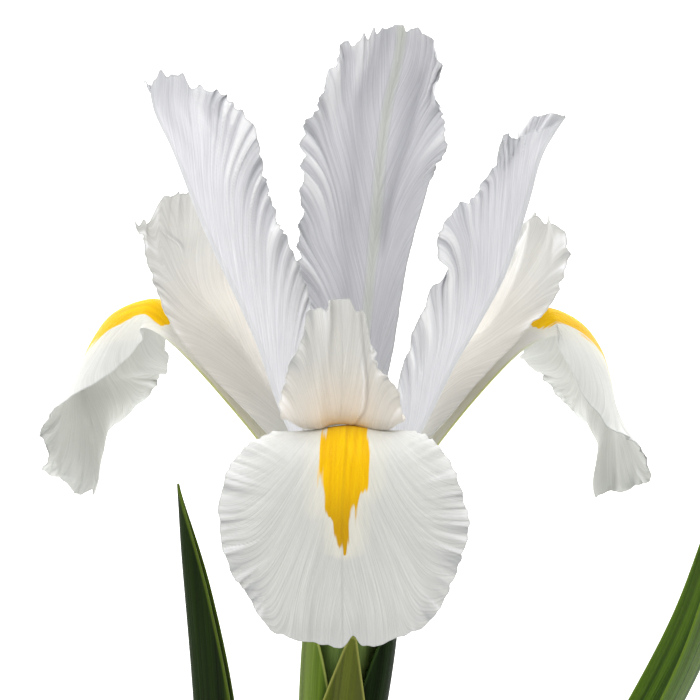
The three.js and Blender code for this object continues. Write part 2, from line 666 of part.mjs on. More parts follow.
// Centre it on the origin, with its lowest points on the ground
const box = new THREE.Box3().setFromObject(flower, true);
const middle = box.getCenter(new THREE.Vector3());
flower.position.set(-middle.x, -middle.y, -box.min.z);

export default flower;
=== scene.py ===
# %% [markdown]
# # A cut white iris
# The solids of this flower are already made. This lesson gives them their looks.
# Each petal, bract and leaf is built again as a much finer sheet on the same lines,
# and gets a finish made of nodes.
# Everything is in the frame of the solids, so nothing has to be fitted by hand.

# %% Load the solids
import math
import bpy
import numpy as np
from mathutils import Matrix, Vector


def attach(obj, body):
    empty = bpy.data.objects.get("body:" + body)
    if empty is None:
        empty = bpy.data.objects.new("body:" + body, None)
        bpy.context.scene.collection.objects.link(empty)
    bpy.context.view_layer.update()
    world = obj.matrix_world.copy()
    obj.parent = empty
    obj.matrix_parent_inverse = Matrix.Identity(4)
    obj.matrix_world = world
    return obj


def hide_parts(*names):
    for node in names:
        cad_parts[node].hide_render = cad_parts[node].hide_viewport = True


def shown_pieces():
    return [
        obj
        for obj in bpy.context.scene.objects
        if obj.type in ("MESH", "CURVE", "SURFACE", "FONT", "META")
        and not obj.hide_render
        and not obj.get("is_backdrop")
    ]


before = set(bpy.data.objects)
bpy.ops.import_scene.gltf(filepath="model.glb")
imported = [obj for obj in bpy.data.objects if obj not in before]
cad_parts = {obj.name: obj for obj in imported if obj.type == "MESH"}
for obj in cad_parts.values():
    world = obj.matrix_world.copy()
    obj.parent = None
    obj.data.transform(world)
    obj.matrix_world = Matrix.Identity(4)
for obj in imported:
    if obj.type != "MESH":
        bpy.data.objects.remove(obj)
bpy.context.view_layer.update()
print("solids:", len(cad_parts))

# %% [markdown]
# ## Standing and lying
# A flower is easiest to draw standing: the foot of the bloom is the origin, up is +Z and the front
# faces -Y. The cut stem lies on its back, though, so every point is turned and moved once, at the end.
# The turn and the move are those of the solids.
# Drawing is in millimetres, and the same last step makes metres of them.

# %% From the standing drawing to the lying flower
MM = 0.001
LYING_PITCH = math.radians(7.43 - 90)
LYING_ROLL = math.radians(-1.65)
LYING_PLACE = Vector((-14.253, 66.982, 31.804))
PITCHED = Matrix.Rotation(LYING_PITCH, 4, "X")
TO_LYING = Matrix.Translation(LYING_PLACE) @ Matrix.Rotation(LYING_ROLL, 4, "Y") @ PITCHED


def lay(points):
    """Standing points in millimetres, as lying points in metres."""
    turn = np.array(TO_LYING.to_3x3())
    return (points @ turn.T + np.array(LYING_PLACE)) * MM


print("the foot of the bloom lies at", [round(v, 4) for v in lay(np.zeros(3))])

# %% [markdown]
# ## The camera
# The photograph looks at the standing bloom from the front and 22 degrees from above, with a long
# lens. A long lens far away keeps the petals from looking stretched.
# The camera is set from three directions: right, up in the picture, and back towards the camera.
# They are turned with the flower when it lies down.

# %% Directions of the view
CAMERA_RISE = math.radians(22)
to_camera = Vector((0, -math.cos(CAMERA_RISE), math.sin(CAMERA_RISE)))
picture_up = Vector((0, math.sin(CAMERA_RISE), math.cos(CAMERA_RISE)))
picture_right = Vector((1, 0, 0))
standing_view = Matrix((picture_right, picture_up, to_camera)).transposed().to_4x4()
lying_view = TO_LYING.to_3x3().to_4x4() @ standing_view
print("the lying flower is seen from", [round(v, 2) for v in lying_view.col[2][:3]])

# %% [markdown]
# ## The lens
# A camera looks along its own -Z, so the three directions are the columns of its matrix.
# A Track To constraint could aim it too, but a matrix holds the photograph's direction exactly.
# The focal length follows from the distance and from the width that the picture shows.

# %% Set the camera
CAMERA_FAR = 800
FRAME_WIDTH = 105
SENSOR = 36
AIM = Vector((0, 0, 32.4))
lying_view.translation = (TO_LYING @ (AIM + CAMERA_FAR * to_camera)) * MM

lens = bpy.data.cameras.new("camera")
lens.sensor_width = SENSOR
lens.lens = SENSOR * CAMERA_FAR / FRAME_WIDTH
lens.clip_start = 0.01
lens.clip_end = 20
camera = bpy.data.objects.new("camera", lens)
camera.matrix_world = lying_view
bpy.context.scene.collection.objects.link(camera)
bpy.context.scene.camera = camera
print("focal length in mm:", round(lens.lens))

# %% [markdown]
# ## The table
# A plain pale table fills the picture. It is one large square that glows a little, like the light
# tables of product photographers, so that shadows on it stay pale.

# %% The table
TABLE_HALF = 3.0
TABLE_WHITE = (0.95, 0.95, 0.95, 1)
TABLE_GLOW = 1.1

table = bpy.data.meshes.new("table")
corners = [(x, y, 0) for x, y in ((-1, -1), (1, -1), (1, 1), (-1, 1))]
table.from_pydata(corners, [], [(0, 1, 2, 3)])
table.transform(Matrix.Scale(TABLE_HALF, 4))
table_top = bpy.data.objects.new("table", table)
bpy.context.scene.collection.objects.link(table_top)
table_top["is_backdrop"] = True

table_paint = bpy.data.materials.new("table_paint")
table_paint.use_nodes = True
paint = table_paint.node_tree.nodes["Principled BSDF"]
paint.inputs["Base Color"].default_value = TABLE_WHITE
paint.inputs["Roughness"].default_value = 0.9
paint.inputs["Emission Color"].default_value = (1, 1, 1, 1)
paint.inputs["Emission Strength"].default_value = TABLE_GLOW
table.materials.append(table_paint)
print("table in m:", [round(side, 1) for side in table_top.dimensions])

# %% [markdown]
# ## The light
# White petals on white need a broad light, and one side of it a little stronger.
# The sky is an even white. A soft lamp beyond the top of the bloom grazes the petals and shows
# their frills. A broader one beyond the stem's cut end opens up the shade that the first one leaves.

# %% Sky and lamps
SKY_STRENGTH = 0.84


def lamp(name, place, aim, size, watts):
    """A square soft lamp that faces the point it aims at."""
    light = bpy.data.lights.new(name, "AREA")
    light.shape = "SQUARE"
    light.size = size
    light.energy = watts
    holder = bpy.data.objects.new(name, light)
    holder.location = place
    holder.rotation_euler = (Vector(aim) - Vector(place)).to_track_quat("-Z", "Y").to_euler()
    bpy.context.scene.collection.objects.link(holder)
    return holder


sky = bpy.data.worlds.new("sky")
sky.use_nodes = True
sky.node_tree.nodes["Background"].inputs["Color"].default_value = (1, 1, 1, 1)
sky.node_tree.nodes["Background"].inputs["Strength"].default_value = SKY_STRENGTH
bpy.context.scene.world = sky

lamp("lamp_top", place=(-0.25, 1.45, 0.9), aim=(0, 0.05, 0.04), size=0.3, watts=7)
lamp("lamp_low", place=(-0.25, -1.3, 0.9), aim=(0, 0.05, 0.03), size=0.6, watts=8)
bpy.context.scene.view_settings.view_transform = "Standard"

# %% [markdown]
# ## Smooth lines through a few numbers
# A petal's width, fold and curl all change along its length. Each is given by a few pairs:
# a share of the length, and the value there. A cubic line through the pairs gives every place
# between. It could be drawn with a curve widget too, but numbers are easier to compare and mend.

# %% Profiles
def profile(pairs):
    """A smooth line through (share, value) pairs, level beyond both ends."""
    pairs = pairs if len(pairs) > 1 else [*pairs, (1, pairs[0][1])]
    places, values = np.array(pairs, float).T
    before = np.maximum(np.arange(len(places)) - 1, 0)
    after = np.minimum(np.arange(len(places)) + 1, len(places) - 1)
    slopes = (values[after] - values[before]) / (places[after] - places[before])

    def value_at(share):
        x = np.clip(share, places[0], places[-1])
        i = np.clip(np.searchsorted(places, x, "right") - 1, 0, len(places) - 2)
        span = places[i + 1] - places[i]
        u = (x - places[i]) / span
        start = (1 - u) ** 2 * ((1 + 2 * u) * values[i] + u * span * slopes[i])
        return start + u ** 2 * ((3 - 2 * u) * values[i + 1] - (1 - u) * span * slopes[i + 1])

    return value_at


def step(low, high, value):
    """Rises smoothly from 0 to 1 between two values."""
    u = np.clip((value - low) / (high - low), 0, 1)
    return u * u * (3 - 2 * u)


print("half way along a width of 0, 10, 4:", profile([(0, 0), (0.4, 10), (1, 4)])(0.5).round(2))

# %% [markdown]
# ## Midribs
# The midrib is a smooth curve in space through a few points. It is measured by its own length,
# so that half way along really is half way. Each petal's points are drawn as seen from its side:
# out from the flower's axis, up, and now and then a little aside. An azimuth then turns
# the petal round the axis: 0 is the front, -120 and 120 are the sides.

# %% Curves and midribs
def directions(azimuth):
    """For an organ that points so many degrees round from the front: out from the axis, and across."""
    a = math.radians(azimuth)
    return np.array((math.sin(a), -math.cos(a), 0)), np.array((math.cos(a), math.sin(a), 0))


def through(points, samples=4000):
    """A smooth curve through points: its length, and functions for the place and direction on it."""
    p = np.vstack((2 * points[0] - points[1], points, 2 * points[-1] - points[-2]))
    t = np.linspace(0, len(points) - 1, samples)
    i = np.minimum(t.astype(int), len(points) - 2)
    u = (t - i)[:, None]
    a, b, c, d = p[i], p[i + 1], p[i + 2], p[i + 3]
    line = b + 0.5 * u * (c - a + u * (2 * a - 5 * b + 4 * c - d + u * (3 * (b - c) + d - a)))
    gone = np.concatenate(([0], np.cumsum(np.linalg.norm(np.diff(line, axis=0), axis=1))))
    slope = np.gradient(line, gone, axis=0)
    slope /= np.linalg.norm(slope, axis=1)[:, None]

    def read(table, share):
        return np.stack([np.interp(share * gone[-1], gone, column) for column in table.T], -1)

    return gone[-1], lambda share: read(line, share), lambda share: read(slope, share)


def midrib(spine, azimuth):
    """The curve of (out, up, aside) points for an organ that points to an azimuth."""
    out, across = directions(azimuth)
    up = np.array((0, 0, 1))
    aside = [p[2] if len(p) > 2 else 0 for p in spine]
    return through(np.array([p[0] * out + p[1] * up + a * across for p, a in zip(spine, aside)]))


print("a bow of three points is", round(midrib([(0, 0), (5, 8), (12, 9)], 0)[0], 2), "mm long")

# %% [markdown]
# ## Uneven edges
# Nothing on a petal repeats evenly. A smooth random line bends the waves of a ruffle, and makes
# the teeth of a ragged margin. Its seed is fixed, so that every run is alike.

# %% Smooth random lines and frills
def uneven(place, seed):
    """A smooth random line with about one rise or dip for each unit, from -1 to 1."""
    values = np.random.default_rng(seed).uniform(-1, 1, 1024)
    low = np.floor(place).astype(int)
    part = place - low
    part = part * part * (3 - 2 * part)
    return values[low % 1024] * (1 - part) + values[(low + 1) % 1024] * part


def frill(place, spacing, seed):
    """Soft swells of about that spacing, with sharp creases and a small crinkle on them."""
    swell = uneven(place / (0.5 * spacing), seed)
    crease = 0.5 - np.abs(uneven(place / (0.9 * spacing), seed + 1))
    crinkle = uneven(place / (0.2 * spacing), seed + 2)
    return 0.75 * swell + 0.7 * crease + 0.16 * crinkle


def wave(place, waves, phase):
    """The two mixed waves of the solids' broad ruffles."""
    return 0.62 * np.sin(waves * place + phase) + 0.38 * np.sin(1.63 * waves * place + 2.1 * phase + 1)


print("a frill's first heights:", frill(np.arange(4.0), 3, 1).round(2))

# %% [markdown]
# ## One recipe for every petal, bract and leaf
# Each is a sheet: a grid of points that goes along the midrib and out to both margins. A place on it
# has two numbers: along, from 0 at the foot to 1 at the tip, and side, from -1 to 1 across.
# A recipe is a dict with these entries. Lists of pairs are profiles, and those with _low are
# for the side below 0.
#
# - spine: the midrib's points. half_width: millimetres from midrib to margin.
#   lobes: a little more or less width, that moves the margin and leaves the veins where they are.
# - fold: degrees that a half is turned up at the midrib. keel: how rounded that fold is.
#   curl: degrees that the section bends as an arc.
# - end_bow: how far the end's corners fall back. notches: dips in the end, each with its place across,
#   width, depth, where it starts, and a power that makes it square.
# - ruffle, waves, phase, focus: the broad waves, which the solids have too.
#   frill and end_frill: the fine ones at the sides and at the end. rag and end_rag: a torn edge.
#   calm_below: where the two sides start to be lively.
# - folds and creases: lines that run lengthwise, each with its place, width, height and start, and
#   a fold with its end too. fold_shading: how strongly a fold's height is painted as shade and
#   highlight. lit_face: which way round a crease's painted highlight and shade line lie.
# - vein_sweep, vein_bend: how the veins leave the midrib. seed: the start of its random lines.
#   more: facts that only some finishes ask for.
#
# A name that ends in _from says where something starts, and one that ends in _spacing how many
# millimetres lie between two of them.

# %% Reading a recipe
LEVEL = ((0, 0), (1, 0))


def by_side(side, share, high, low):
    """Reads the high profile where the side is above 0, and the low one below."""
    return np.where(side < 0, profile(low)(share), profile(high)(share))


def lively(shape, along, side):
    """Full where a margin is ruffled, almost nothing along the calm stretch that some start with."""
    low, high = shape.get("calm_below", (-1, -1))
    return 0.1 + 0.9 * np.where(side < 0, step(low, low + 0.12, along), step(high, high + 0.12, along))


print("a calm margin half way up its start:", lively({"calm_below": (0.5, 0.5)}, 0.56, 1.0).round(2))

# %% [markdown]
# ## The flat blade
# First the blade is cut out flat: how far to the side the margin lies, where the veins run, and
# how the end is notched. The veins decide where teeth and frills come, so they are found first.
# Each vein has a number: where it would reach the margin, in millimetres along it.

# %% Veins, torn margins and notches
OTHER_SIDE = 500


def vein_numbers(shape, length, along, side):
    """The number of the vein at each point. The two sides have numbers far apart."""
    sweep, sweep_more = shape.get("vein_sweep", (0.12, 0.4))
    inside = 1 - np.abs(side)
    reached = along + sweep * inside + sweep_more * inside ** shape.get("vein_bend", 2)
    return length * reached + OTHER_SIDE * (side < 0)


def torn(shape, along, side, vein):
    """Teeth at the margin, in millimetres."""
    size = profile(shape.get("rag", LEVEL))(along) * lively(shape, along, side)
    seed = shape.get("seed", 1)
    teeth = uneven(vein / shape.get("rag_spacing", 1.3), seed + 10)
    return size * (0.7 * teeth + 1.1 * uneven(vein / 4.5, seed + 12)) * np.abs(side) ** 6


def notched(shape, distance, along, side):
    """Distances along the blade, shortened where the end has a notch."""
    for at, width, depth, start, *sharp in shape.get("notches", ()):
        dip = np.exp(-np.abs((side - at) / width) ** (sharp[0] if sharp else 2))
        distance = distance - depth * dip * step(start, 1, along)
    return distance


print("a 2 mm notch leaves", notched({"notches": [(0, 0.2, 2, 0.8)]}, 30.0, 1.0, 0.0), "of 30 mm")

# %% [markdown]
# ## The outline
# Now the half width is read at each point, and teeth and notches change it. The end of a real petal
# is rounded, so the last rows of points bend back towards the foot at both margins.
# A curve filled with faces could give the outline too, but then no point would know its vein.

# %% The blade's outline
def flat_blade(shape, length, along, side):
    """For each point: half the width there, how far to the side and along it lies, and its vein."""
    bow = shape.get("end_bow", 0) * step(shape.get("end_bow_from", 0.6), 1, along)
    width_at = along - bow / length
    high = shape["half_width"]
    half_width = by_side(side, width_at, high, shape.get("half_width_low") or high)
    lobe = by_side(side, width_at, shape.get("lobes", LEVEL), shape.get("lobes_low", LEVEL))
    half_width = half_width + lobe * np.abs(side) ** 4

    vein = vein_numbers(shape, length, along, side)
    half_width = half_width + torn(shape, along, side, vein)
    sideways = side * half_width
    distance = notched(shape, length * along - bow * side ** 2, along, side)
    end_place = sideways / shape.get("rag_spacing", 1.3) + 40
    end_teeth = shape.get("end_rag", 0) * uneven(end_place, shape.get("seed", 1) + 11)
    distance = distance + end_teeth * step(0.9, 1, along) ** 2
    return half_width, sideways, distance, vein


strip = dict(half_width=[(0, 2), (1, 5)])
print("half way up a strip of 2 to 5 mm:", flat_blade(strip, 30, np.array(0.5), np.array(1.0))[0].round(2))

# %% [markdown]
# ## Broad ruffles
# Ruffles, frills and folds lift the blade out of its plane. The broad ruffles are the ones that the
# solids have too: waves that spread like a fan from a focus on the midrib and grow to the margin.
# They use the same sums as the solids, so the fine petal keeps the form of the plain one.

# %% Broad ruffles
def ruffles(shape, length, along, side, sideways, distance):
    """Heights of the broad waves."""
    ray = np.arctan2(sideways, distance - shape.get("focus", 0.4) * length)
    end_reach = shape.get("ruffle_top", 0) * step(0.55, 1, along) ** 2
    reach = np.maximum(np.abs(side) ** 3, end_reach)
    waves = wave(ray + 0.25 * np.sin(2 * ray), shape.get("waves", 1), shape.get("phase", 0))
    share = np.clip(distance / length, 0, 1)
    return profile(shape.get("ruffle", LEVEL))(share) * reach * waves * lively(shape, along, side)


print("the two mixed waves at 0 and 1:", wave(np.arange(2.0), 15, 1).round(2))

# %% [markdown]
# ## Fine frills
# The margin of a petal grows faster than its middle, so it has to pucker. These small folds follow
# the veins, or a circle round the blade's middle, and their height grows towards the margin.
# A Displace modifier with a noise texture would be quicker, but its bumps follow no veins.

# %% Fine frills
def frills(shape, length, along, side, sideways, distance, vein):
    """Heights of the frills at the sides."""
    place = vein
    if "frill_radius" in shape:
        middle = distance - shape.get("frill_focus", 0.4) * length
        place = shape["frill_radius"] * np.arctan2(sideways, middle) + 300
    seed = shape.get("seed", 1)
    edge = np.abs(side) ** shape.get("frill_growth", 3.5)
    spacing = shape.get("frill_spacing", 3)
    small = np.abs(side) ** 2.2 * frill(place, 0.45 * spacing, seed + 5)
    height = profile(shape.get("frill", LEVEL))(along) * lively(shape, along, side)
    return height * (edge * frill(place, spacing, seed) + 0.35 * small)


def end_frills(shape, along, sideways):
    """Heights of the frills at the end."""
    end = step(shape.get("end_frill_from", 0.8), 1, along) ** 2
    end_wave = frill(sideways + 90, shape.get("end_frill_spacing", 2.4), shape.get("seed", 1) + 3)
    return shape.get("end_frill", 0) * end * end_wave


print("an end frill's heights:", end_frills({"end_frill": 1}, 1.0, np.arange(3.0)).round(2))

# %% [markdown]
# ## Folds and creases
# A few forms run lengthwise. A fold is a soft swell, as beside a midrib. A crease is a step, as where
# one crest lies over the next. The step is low, so a painted highlight on its edge and a painted shade line
# beside it help it.

# %% Folds and creases
def folds(shape, along, side):
    """Heights of folds and creases that run lengthwise."""
    rise = 0 * along
    for at, width, height, start, stop in shape.get("folds", ()):
        centre = profile(at)(along)
        window = step(start, start + 0.1, along) * (1 - step(stop - 0.05, stop + 0.05, along))
        rise = rise + height * np.exp(-((side - centre) / width) ** 2) * window
    for at, width, height, start in shape.get("creases", ()):
        centre = profile(at)(along)
        rise = rise + height * np.tanh((side - centre) / width) * step(start, start + 0.08, along)
    return rise


def crease_shade(shape, along, side):
    """A painted highlight along the edge and a painted shade line beside it, where one lobe lies over the
    next.
    """
    shade = 0 * along
    for at, width, height, start in shape.get("creases", ()):
        beyond = np.sign(height) * (side - profile(at)(along))
        painted_highlight_line = 0.7 * np.exp(-((beyond + 0.015) / 0.02) ** 2)
        painted_shade_line = 0.6 * np.exp(-((beyond - 0.05) / 0.04) ** 2)
        line = (painted_highlight_line - painted_shade_line) * shape.get("lit_face", 1)
        line = line * step(start - 0.02, start + 0.04, along)
        shade = shade + line * (1 - 0.7 * step(0.78, 0.95, along))
    return shade


print("the top of a 1 mm fold:", folds({"folds": [([(0, 0)], 0.2, 1, 0, 1)]}, 0.5, 0.0), "mm")

# %% [markdown]
# ## The sheet in space
# The flat blade is bent to an arc, folded at its rounded keel, lifted by its ruffles, and set on
# the midrib. Some facts of each point are kept for the finishes: how far along and across the flat
# blade it lies, its vein, how near the margin it is, and the relief of its frills, which the finish
# paints as shade in the hollows and as highlights on the crests.
# So a vein runs along the petal however the petal bends.

# %% The section and the surface
def section(shape, share, sideways, half_width, side):
    """The bent and folded section: its two coordinates, and how much it leans at each point."""
    bend = np.radians(profile(shape["curl"])(share)) / np.maximum(half_width, 1) + 1e-6
    high = shape.get("fold", LEVEL)
    fold = np.radians(by_side(side, share, high, shape.get("fold_low") or high))
    fold = fold * sideways / np.hypot(sideways, shape.get("keel", 1.5))
    arc_x = np.sin(bend * sideways) / bend
    arc_y = (1 - np.cos(bend * sideways)) / bend
    x = arc_x * np.cos(fold) - arc_y * np.sin(fold)
    y = arc_x * np.sin(fold) + arc_y * np.cos(fold)
    return x, y, fold + bend * sideways


def blade_surface(shape, azimuth, along, side):
    """Points of a sheet for shares along it and across it, with the facts that its finish reads."""
    length, place_at, slope_at = midrib(shape["spine"], azimuth)
    half_width, sideways, distance, vein = flat_blade(shape, length, along, side)
    share = np.clip(distance / length, 0, 1)
    x, y, lean = section(shape, share, sideways, half_width, side)

    fine = frills(shape, length, along, side, sideways, distance, vein)
    fine_end = end_frills(shape, along, sideways)
    rise = ruffles(shape, length, along, side, sideways, distance)
    rise = rise + fine + fine_end + folds(shape, along, side)
    x = x - rise * np.sin(lean)
    y = y + rise * np.cos(lean)

    _, across = directions(azimuth)
    tangent = slope_at(share)
    right = across - tangent * (tangent @ across)[..., None]
    right /= np.linalg.norm(right, axis=-1)[..., None]
    points = place_at(share) + x[..., None] * right + y[..., None] * np.cross(tangent, right)

    margin = np.minimum((1 - np.abs(side)) * half_width, length * (1 - along) + 2 * (along < 0.5))
    tallest = max(height for _, height in shape.get("frill", LEVEL))
    # the frills' relief and the creases' painted lines, which the finish paints as shade and highlight
    relief_shading = fine / max(tallest, 0.1) + 0.5 * fine_end + crease_shade(shape, along, side)
    # painted shade and highlight from the folds' height, as strong as the recipe says
    relief_shading = relief_shading + shape.get("fold_shading", 0) * folds(shape, along, side)
    facts = {"along": distance, "across": sideways, "vein": vein, "margin": margin, "relief_shading": relief_shading}
    return points, {name: np.broadcast_to(fact, side.shape) for name, fact in facts.items()}


print("facts of each point: along, across, vein, margin, relief")

# %% [markdown]
# ## From a grid to a closed sheet
# A petal has two faces and a thin edge. Both faces come from the same grid, moved apart by the
# thickness there: thick at the midrib, thin at the margin. A strip of faces round the border closes
# the sheet. The Solidify modifier could do this too, but it would thin a ruffled margin less evenly.

# %% Faces of a closed sheet
def grid_normals(points):
    """A unit normal for each point of a grid."""
    normal = np.cross(np.gradient(points, axis=0), np.gradient(points, axis=1))
    return normal / np.maximum(np.linalg.norm(normal, axis=-1), 1e-9)[..., None]


def quads(number):
    """The quads between the points of a grid, given their numbers."""
    corners = (number[:-1, :-1], number[1:, :-1], number[1:, 1:], number[:-1, 1:])
    return np.stack(corners, -1).reshape(-1, 4)


def sheet_faces(rows, columns):
    """Quads of both faces and the border of a grid. The under face's points follow the upper face's."""
    number = np.arange(rows * columns).reshape(rows, columns)
    upper = quads(number)
    ring = np.concatenate((number[0, :-1], number[:-1, -1], number[-1, :0:-1], number[:0:-1, 0]))
    following = np.roll(ring, -1)
    under = number.size
    border = np.stack((ring, following, following + under, ring + under), -1)
    return np.concatenate((upper, upper[:, ::-1] + under, border))


print("a grid of 3 x 4 points gives", len(sheet_faces(3, 4)), "quads")

# %% [markdown]
# ## Pieces of the flower
# A piece is a mesh with its facts as point attributes. It rides on the part's one body, stands for
# a node of the solids, whose solid it hides, and takes its material, so node and material are said for
# each.

# %% Pieces
def add_piece(name, points, faces, facts, material, node):
    """A smooth mesh object in the lying frame, riding on the flower and standing for a node."""
    mesh = bpy.data.meshes.new(name)
    mesh.from_pydata(lay(points).tolist(), [], faces)
    mesh.validate()
    mesh.shade_smooth()
    for fact_name, values in facts.items():
        attribute = mesh.attributes.new(fact_name, "FLOAT", "POINT")
        attribute.data.foreach_set("value", np.asarray(values, np.float32).ravel())
    mesh.materials.append(material)
    piece = bpy.data.objects.new(name, mesh)
    bpy.context.scene.collection.objects.link(piece)
    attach(piece, "root")
    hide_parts(node)
    return piece


# %% [markdown]
# ## Where the points of a sheet lie
# Frills need many points and smooth feet need few. So the rows lie twice as close beyond the place
# where the fine work starts, and the columns a little closer near the margins.
# Thickness is in millimetres. It is thin at the margin, and full from a rim's width inwards.

# %% Sheets
RIM = 3.5


def side_places(columns):
    """Places from -1 to 1, a little closer together near the margins."""
    side = np.linspace(-1, 1, columns)
    return np.sign(side) * (1 - (1 - np.abs(side)) ** 1.15)


def along_places(rows, fine_from):
    """Places from 0 to 1, twice as close together beyond the place where the fine work starts."""
    coarse = int(rows * fine_from / (2 - fine_from))
    start = np.linspace(0, fine_from, coarse, endpoint=False)
    return np.concatenate((start, np.linspace(fine_from, 1, rows - coarse)))


def sheet(name, shape, azimuth, material, node, rows, columns, thick=0.34, thin=0.16, fine_from=0.3):
    """A petal, bract or leaf as a closed sheet with its finish."""
    side, along = np.meshgrid(side_places(columns), along_places(rows, fine_from))
    points, facts = blade_surface(shape, azimuth, along, side)
    thickness = thin + (thick - thin) * step(0, RIM, facts["margin"])
    shift = grid_normals(points) * thickness[..., None] / 2
    both = np.concatenate(((points + shift).reshape(-1, 3), (points - shift).reshape(-1, 3)))
    facts = {fact: np.tile(np.ravel(values), 2) for fact, values in facts.items()}
    facts["outer"] = np.repeat((0.0, 1.0), side.size)
    facts["relief_shading"] = facts["relief_shading"] * (1 - 2 * facts["outer"])
    for fact, make in shape.get("more", {}).items():
        facts[fact] = make(facts)
    return add_piece(name, both, sheet_faces(rows, columns).tolist(), facts, material, node)


print("rows of a short sheet:", along_places(8, 0.5).round(2))

# %% [markdown]
# ## Building with nodes
# Finishes are made of nodes. Small helpers keep that short: one adds a node and fills its sockets
# with numbers or with links from other nodes, and the others add the few kinds used most.

# %% Node helpers
def colour(red, green, blue):
    """A screen colour from 0 to 255, as the linear light that the shader wants."""
    def linear(v):
        v = v / 255
        return v / 12.92 if v <= 0.04045 else ((v + 0.055) / 1.055) ** 2.4
    return linear(red), linear(green), linear(blue), 1


def add(tree, kind, settings=None, **sockets):
    """A node of that kind. A socket's name has _ for a space, and n1 means the second socket."""
    made = tree.nodes.new("ShaderNode" + kind)
    for name, value in (settings or {}).items():
        setattr(made, name, value)
    for name, value in sockets.items():
        at = int(name[1:]) if name[0] == "n" and name[1:].isdigit() else name.replace("_", " ")
        if isinstance(value, bpy.types.NodeSocket):
            tree.links.new(value, made.inputs[at])
        else:
            made.inputs[at].default_value = value
    return made


print("white 220 as linear light:", [round(v, 3) for v in colour(220, 220, 220)[:3]])

# %% [markdown]
# ## The nodes used most
# A sum works on numbers. A fact reads what a piece keeps at each point. A fade turns one range of
# numbers into another, and a mix lays one colour over another.
# With these few, the lines of a finish read like a list of what lies on what.

# %% Sums, facts, fades and mixes
def sum_of(tree, operation, *values):
    """The outcome of a sum with one, two or three values."""
    sockets = {f"n{i}": value for i, value in enumerate(values)}
    return add(tree, "Math", {"operation": operation}, **sockets).outputs[0]


def product(tree, first, second):
    """Two values multiplied."""
    return sum_of(tree, "MULTIPLY", first, second)


def fact(tree, name):
    """One of the facts that a piece keeps at each point."""
    return add(tree, "Attribute", {"attribute_name": name}).outputs["Fac"]


def fade(tree, value, low, high, from_value=0.0, to_value=1.0):
    """Goes smoothly from one value to another as a number goes from low to high."""
    made = add(tree, "MapRange", {"interpolation_type": "SMOOTHSTEP"}, n0=value, n1=low, n2=high,
               n3=from_value, n4=to_value)
    return made.outputs[0]


def mix(tree, share, first, second):
    """A colour between two colours."""
    return add(tree, "Mix", {"data_type": "RGBA"}, n0=share, n6=first, n7=second).outputs[2]


def finish(name):
    """A new material: its tree, and its main shader."""
    made = bpy.data.materials.new(name)
    made.use_nodes = True
    return made, made.node_tree, made.node_tree.nodes["Principled BSDF"]


print("kinds of node used most: Math, Attribute, MapRange, Mix")

# %% [markdown]
# ## Lines of living tissue
# Petals and leaves share three patterns. Streaks are noise stretched along the veins.
# Veins are thin lines at a nearly even spacing. Cells are a fine grain in space.
# Together they give the bump and the satin gloss.

# %% Streaks, veins, cells and satin
def streaks(tree, vein, along, width, stretch, seed, detail=3.0):
    """Uneven lines that follow the veins, from 0 to 1. Width and stretch are in millimetres."""
    where = add(tree, "CombineXYZ", X=product(tree, vein, 1 / width), Y=product(tree, along, 1 / stretch),
                Z=float(seed))
    noise = add(tree, "TexNoise", {"noise_dimensions": "3D"}, Vector=where.outputs[0], Scale=1.0,
                Detail=detail, Roughness=0.55)
    return fade(tree, noise.outputs[0], 0.3, 0.7)


def veins(tree, vein, along, spacing):
    """Thin lines at a nearly even spacing, from 0 between them to 1 on them."""
    where = add(tree, "CombineXYZ", X=product(tree, vein, 0.4), Y=product(tree, along, 0.06))
    sway = add(tree, "TexNoise", None, Scale=1.0, Detail=1.0, Vector=where.outputs[0]).outputs[0]
    turns = sum_of(tree, "MULTIPLY_ADD", sway, 3.0, product(tree, vein, 1 / spacing))
    return fade(tree, sum_of(tree, "PINGPONG", turns, 0.5), 0.0, 0.14, 1.0, 0.0)


def grain(tree, scale):
    """A fine grain of cells, so many to the metre."""
    place = add(tree, "TexCoord").outputs["Object"]
    return add(tree, "TexNoise", None, Scale=scale, Detail=1.0, Vector=place).outputs[0]


def satin(tree, shader, lines, cells, rough, depth):
    """Bump and gloss from veins and cells."""
    height = sum_of(tree, "MULTIPLY_ADD", cells, 0.3, lines)
    bump = add(tree, "Bump", None, Strength=0.5, Distance=depth, Height=height)
    tree.links.new(bump.outputs[0], shader.inputs["Normal"])
    tree.links.new(fade(tree, cells, 0.0, 1.0, *rough), shader.inputs["Roughness"])


PETAL_CELLS = 2600.0
LEAF_CELLS = 1800.0
print("cells to the millimetre, petal and leaf:", PETAL_CELLS * MM, LEAF_CELLS * MM)

# %% [markdown]
# ## Petal white
# An iris petal is not plain white. Clear cells make it pearly, fine veins run from its foot to its
# margin, and its foot is faintly green. The hollows between the frills get painted shade, their tops
# painted highlights, and the last few millimetres to the margin a painted shade grey.
# So the body colour goes from shade to light with the streaks, and then takes these greys in turn.

# %% The pearly body
VEIN_GREY = colour(158, 155, 155)
MARGIN_SHADE_GREY = colour(172, 175, 177)
PAINTED_HOLLOW_SHADE = colour(142, 145, 150)
PAINTED_RIDGE_HIGHLIGHT = colour(242, 242, 243)
FOOT_GREEN = colour(206, 212, 186)


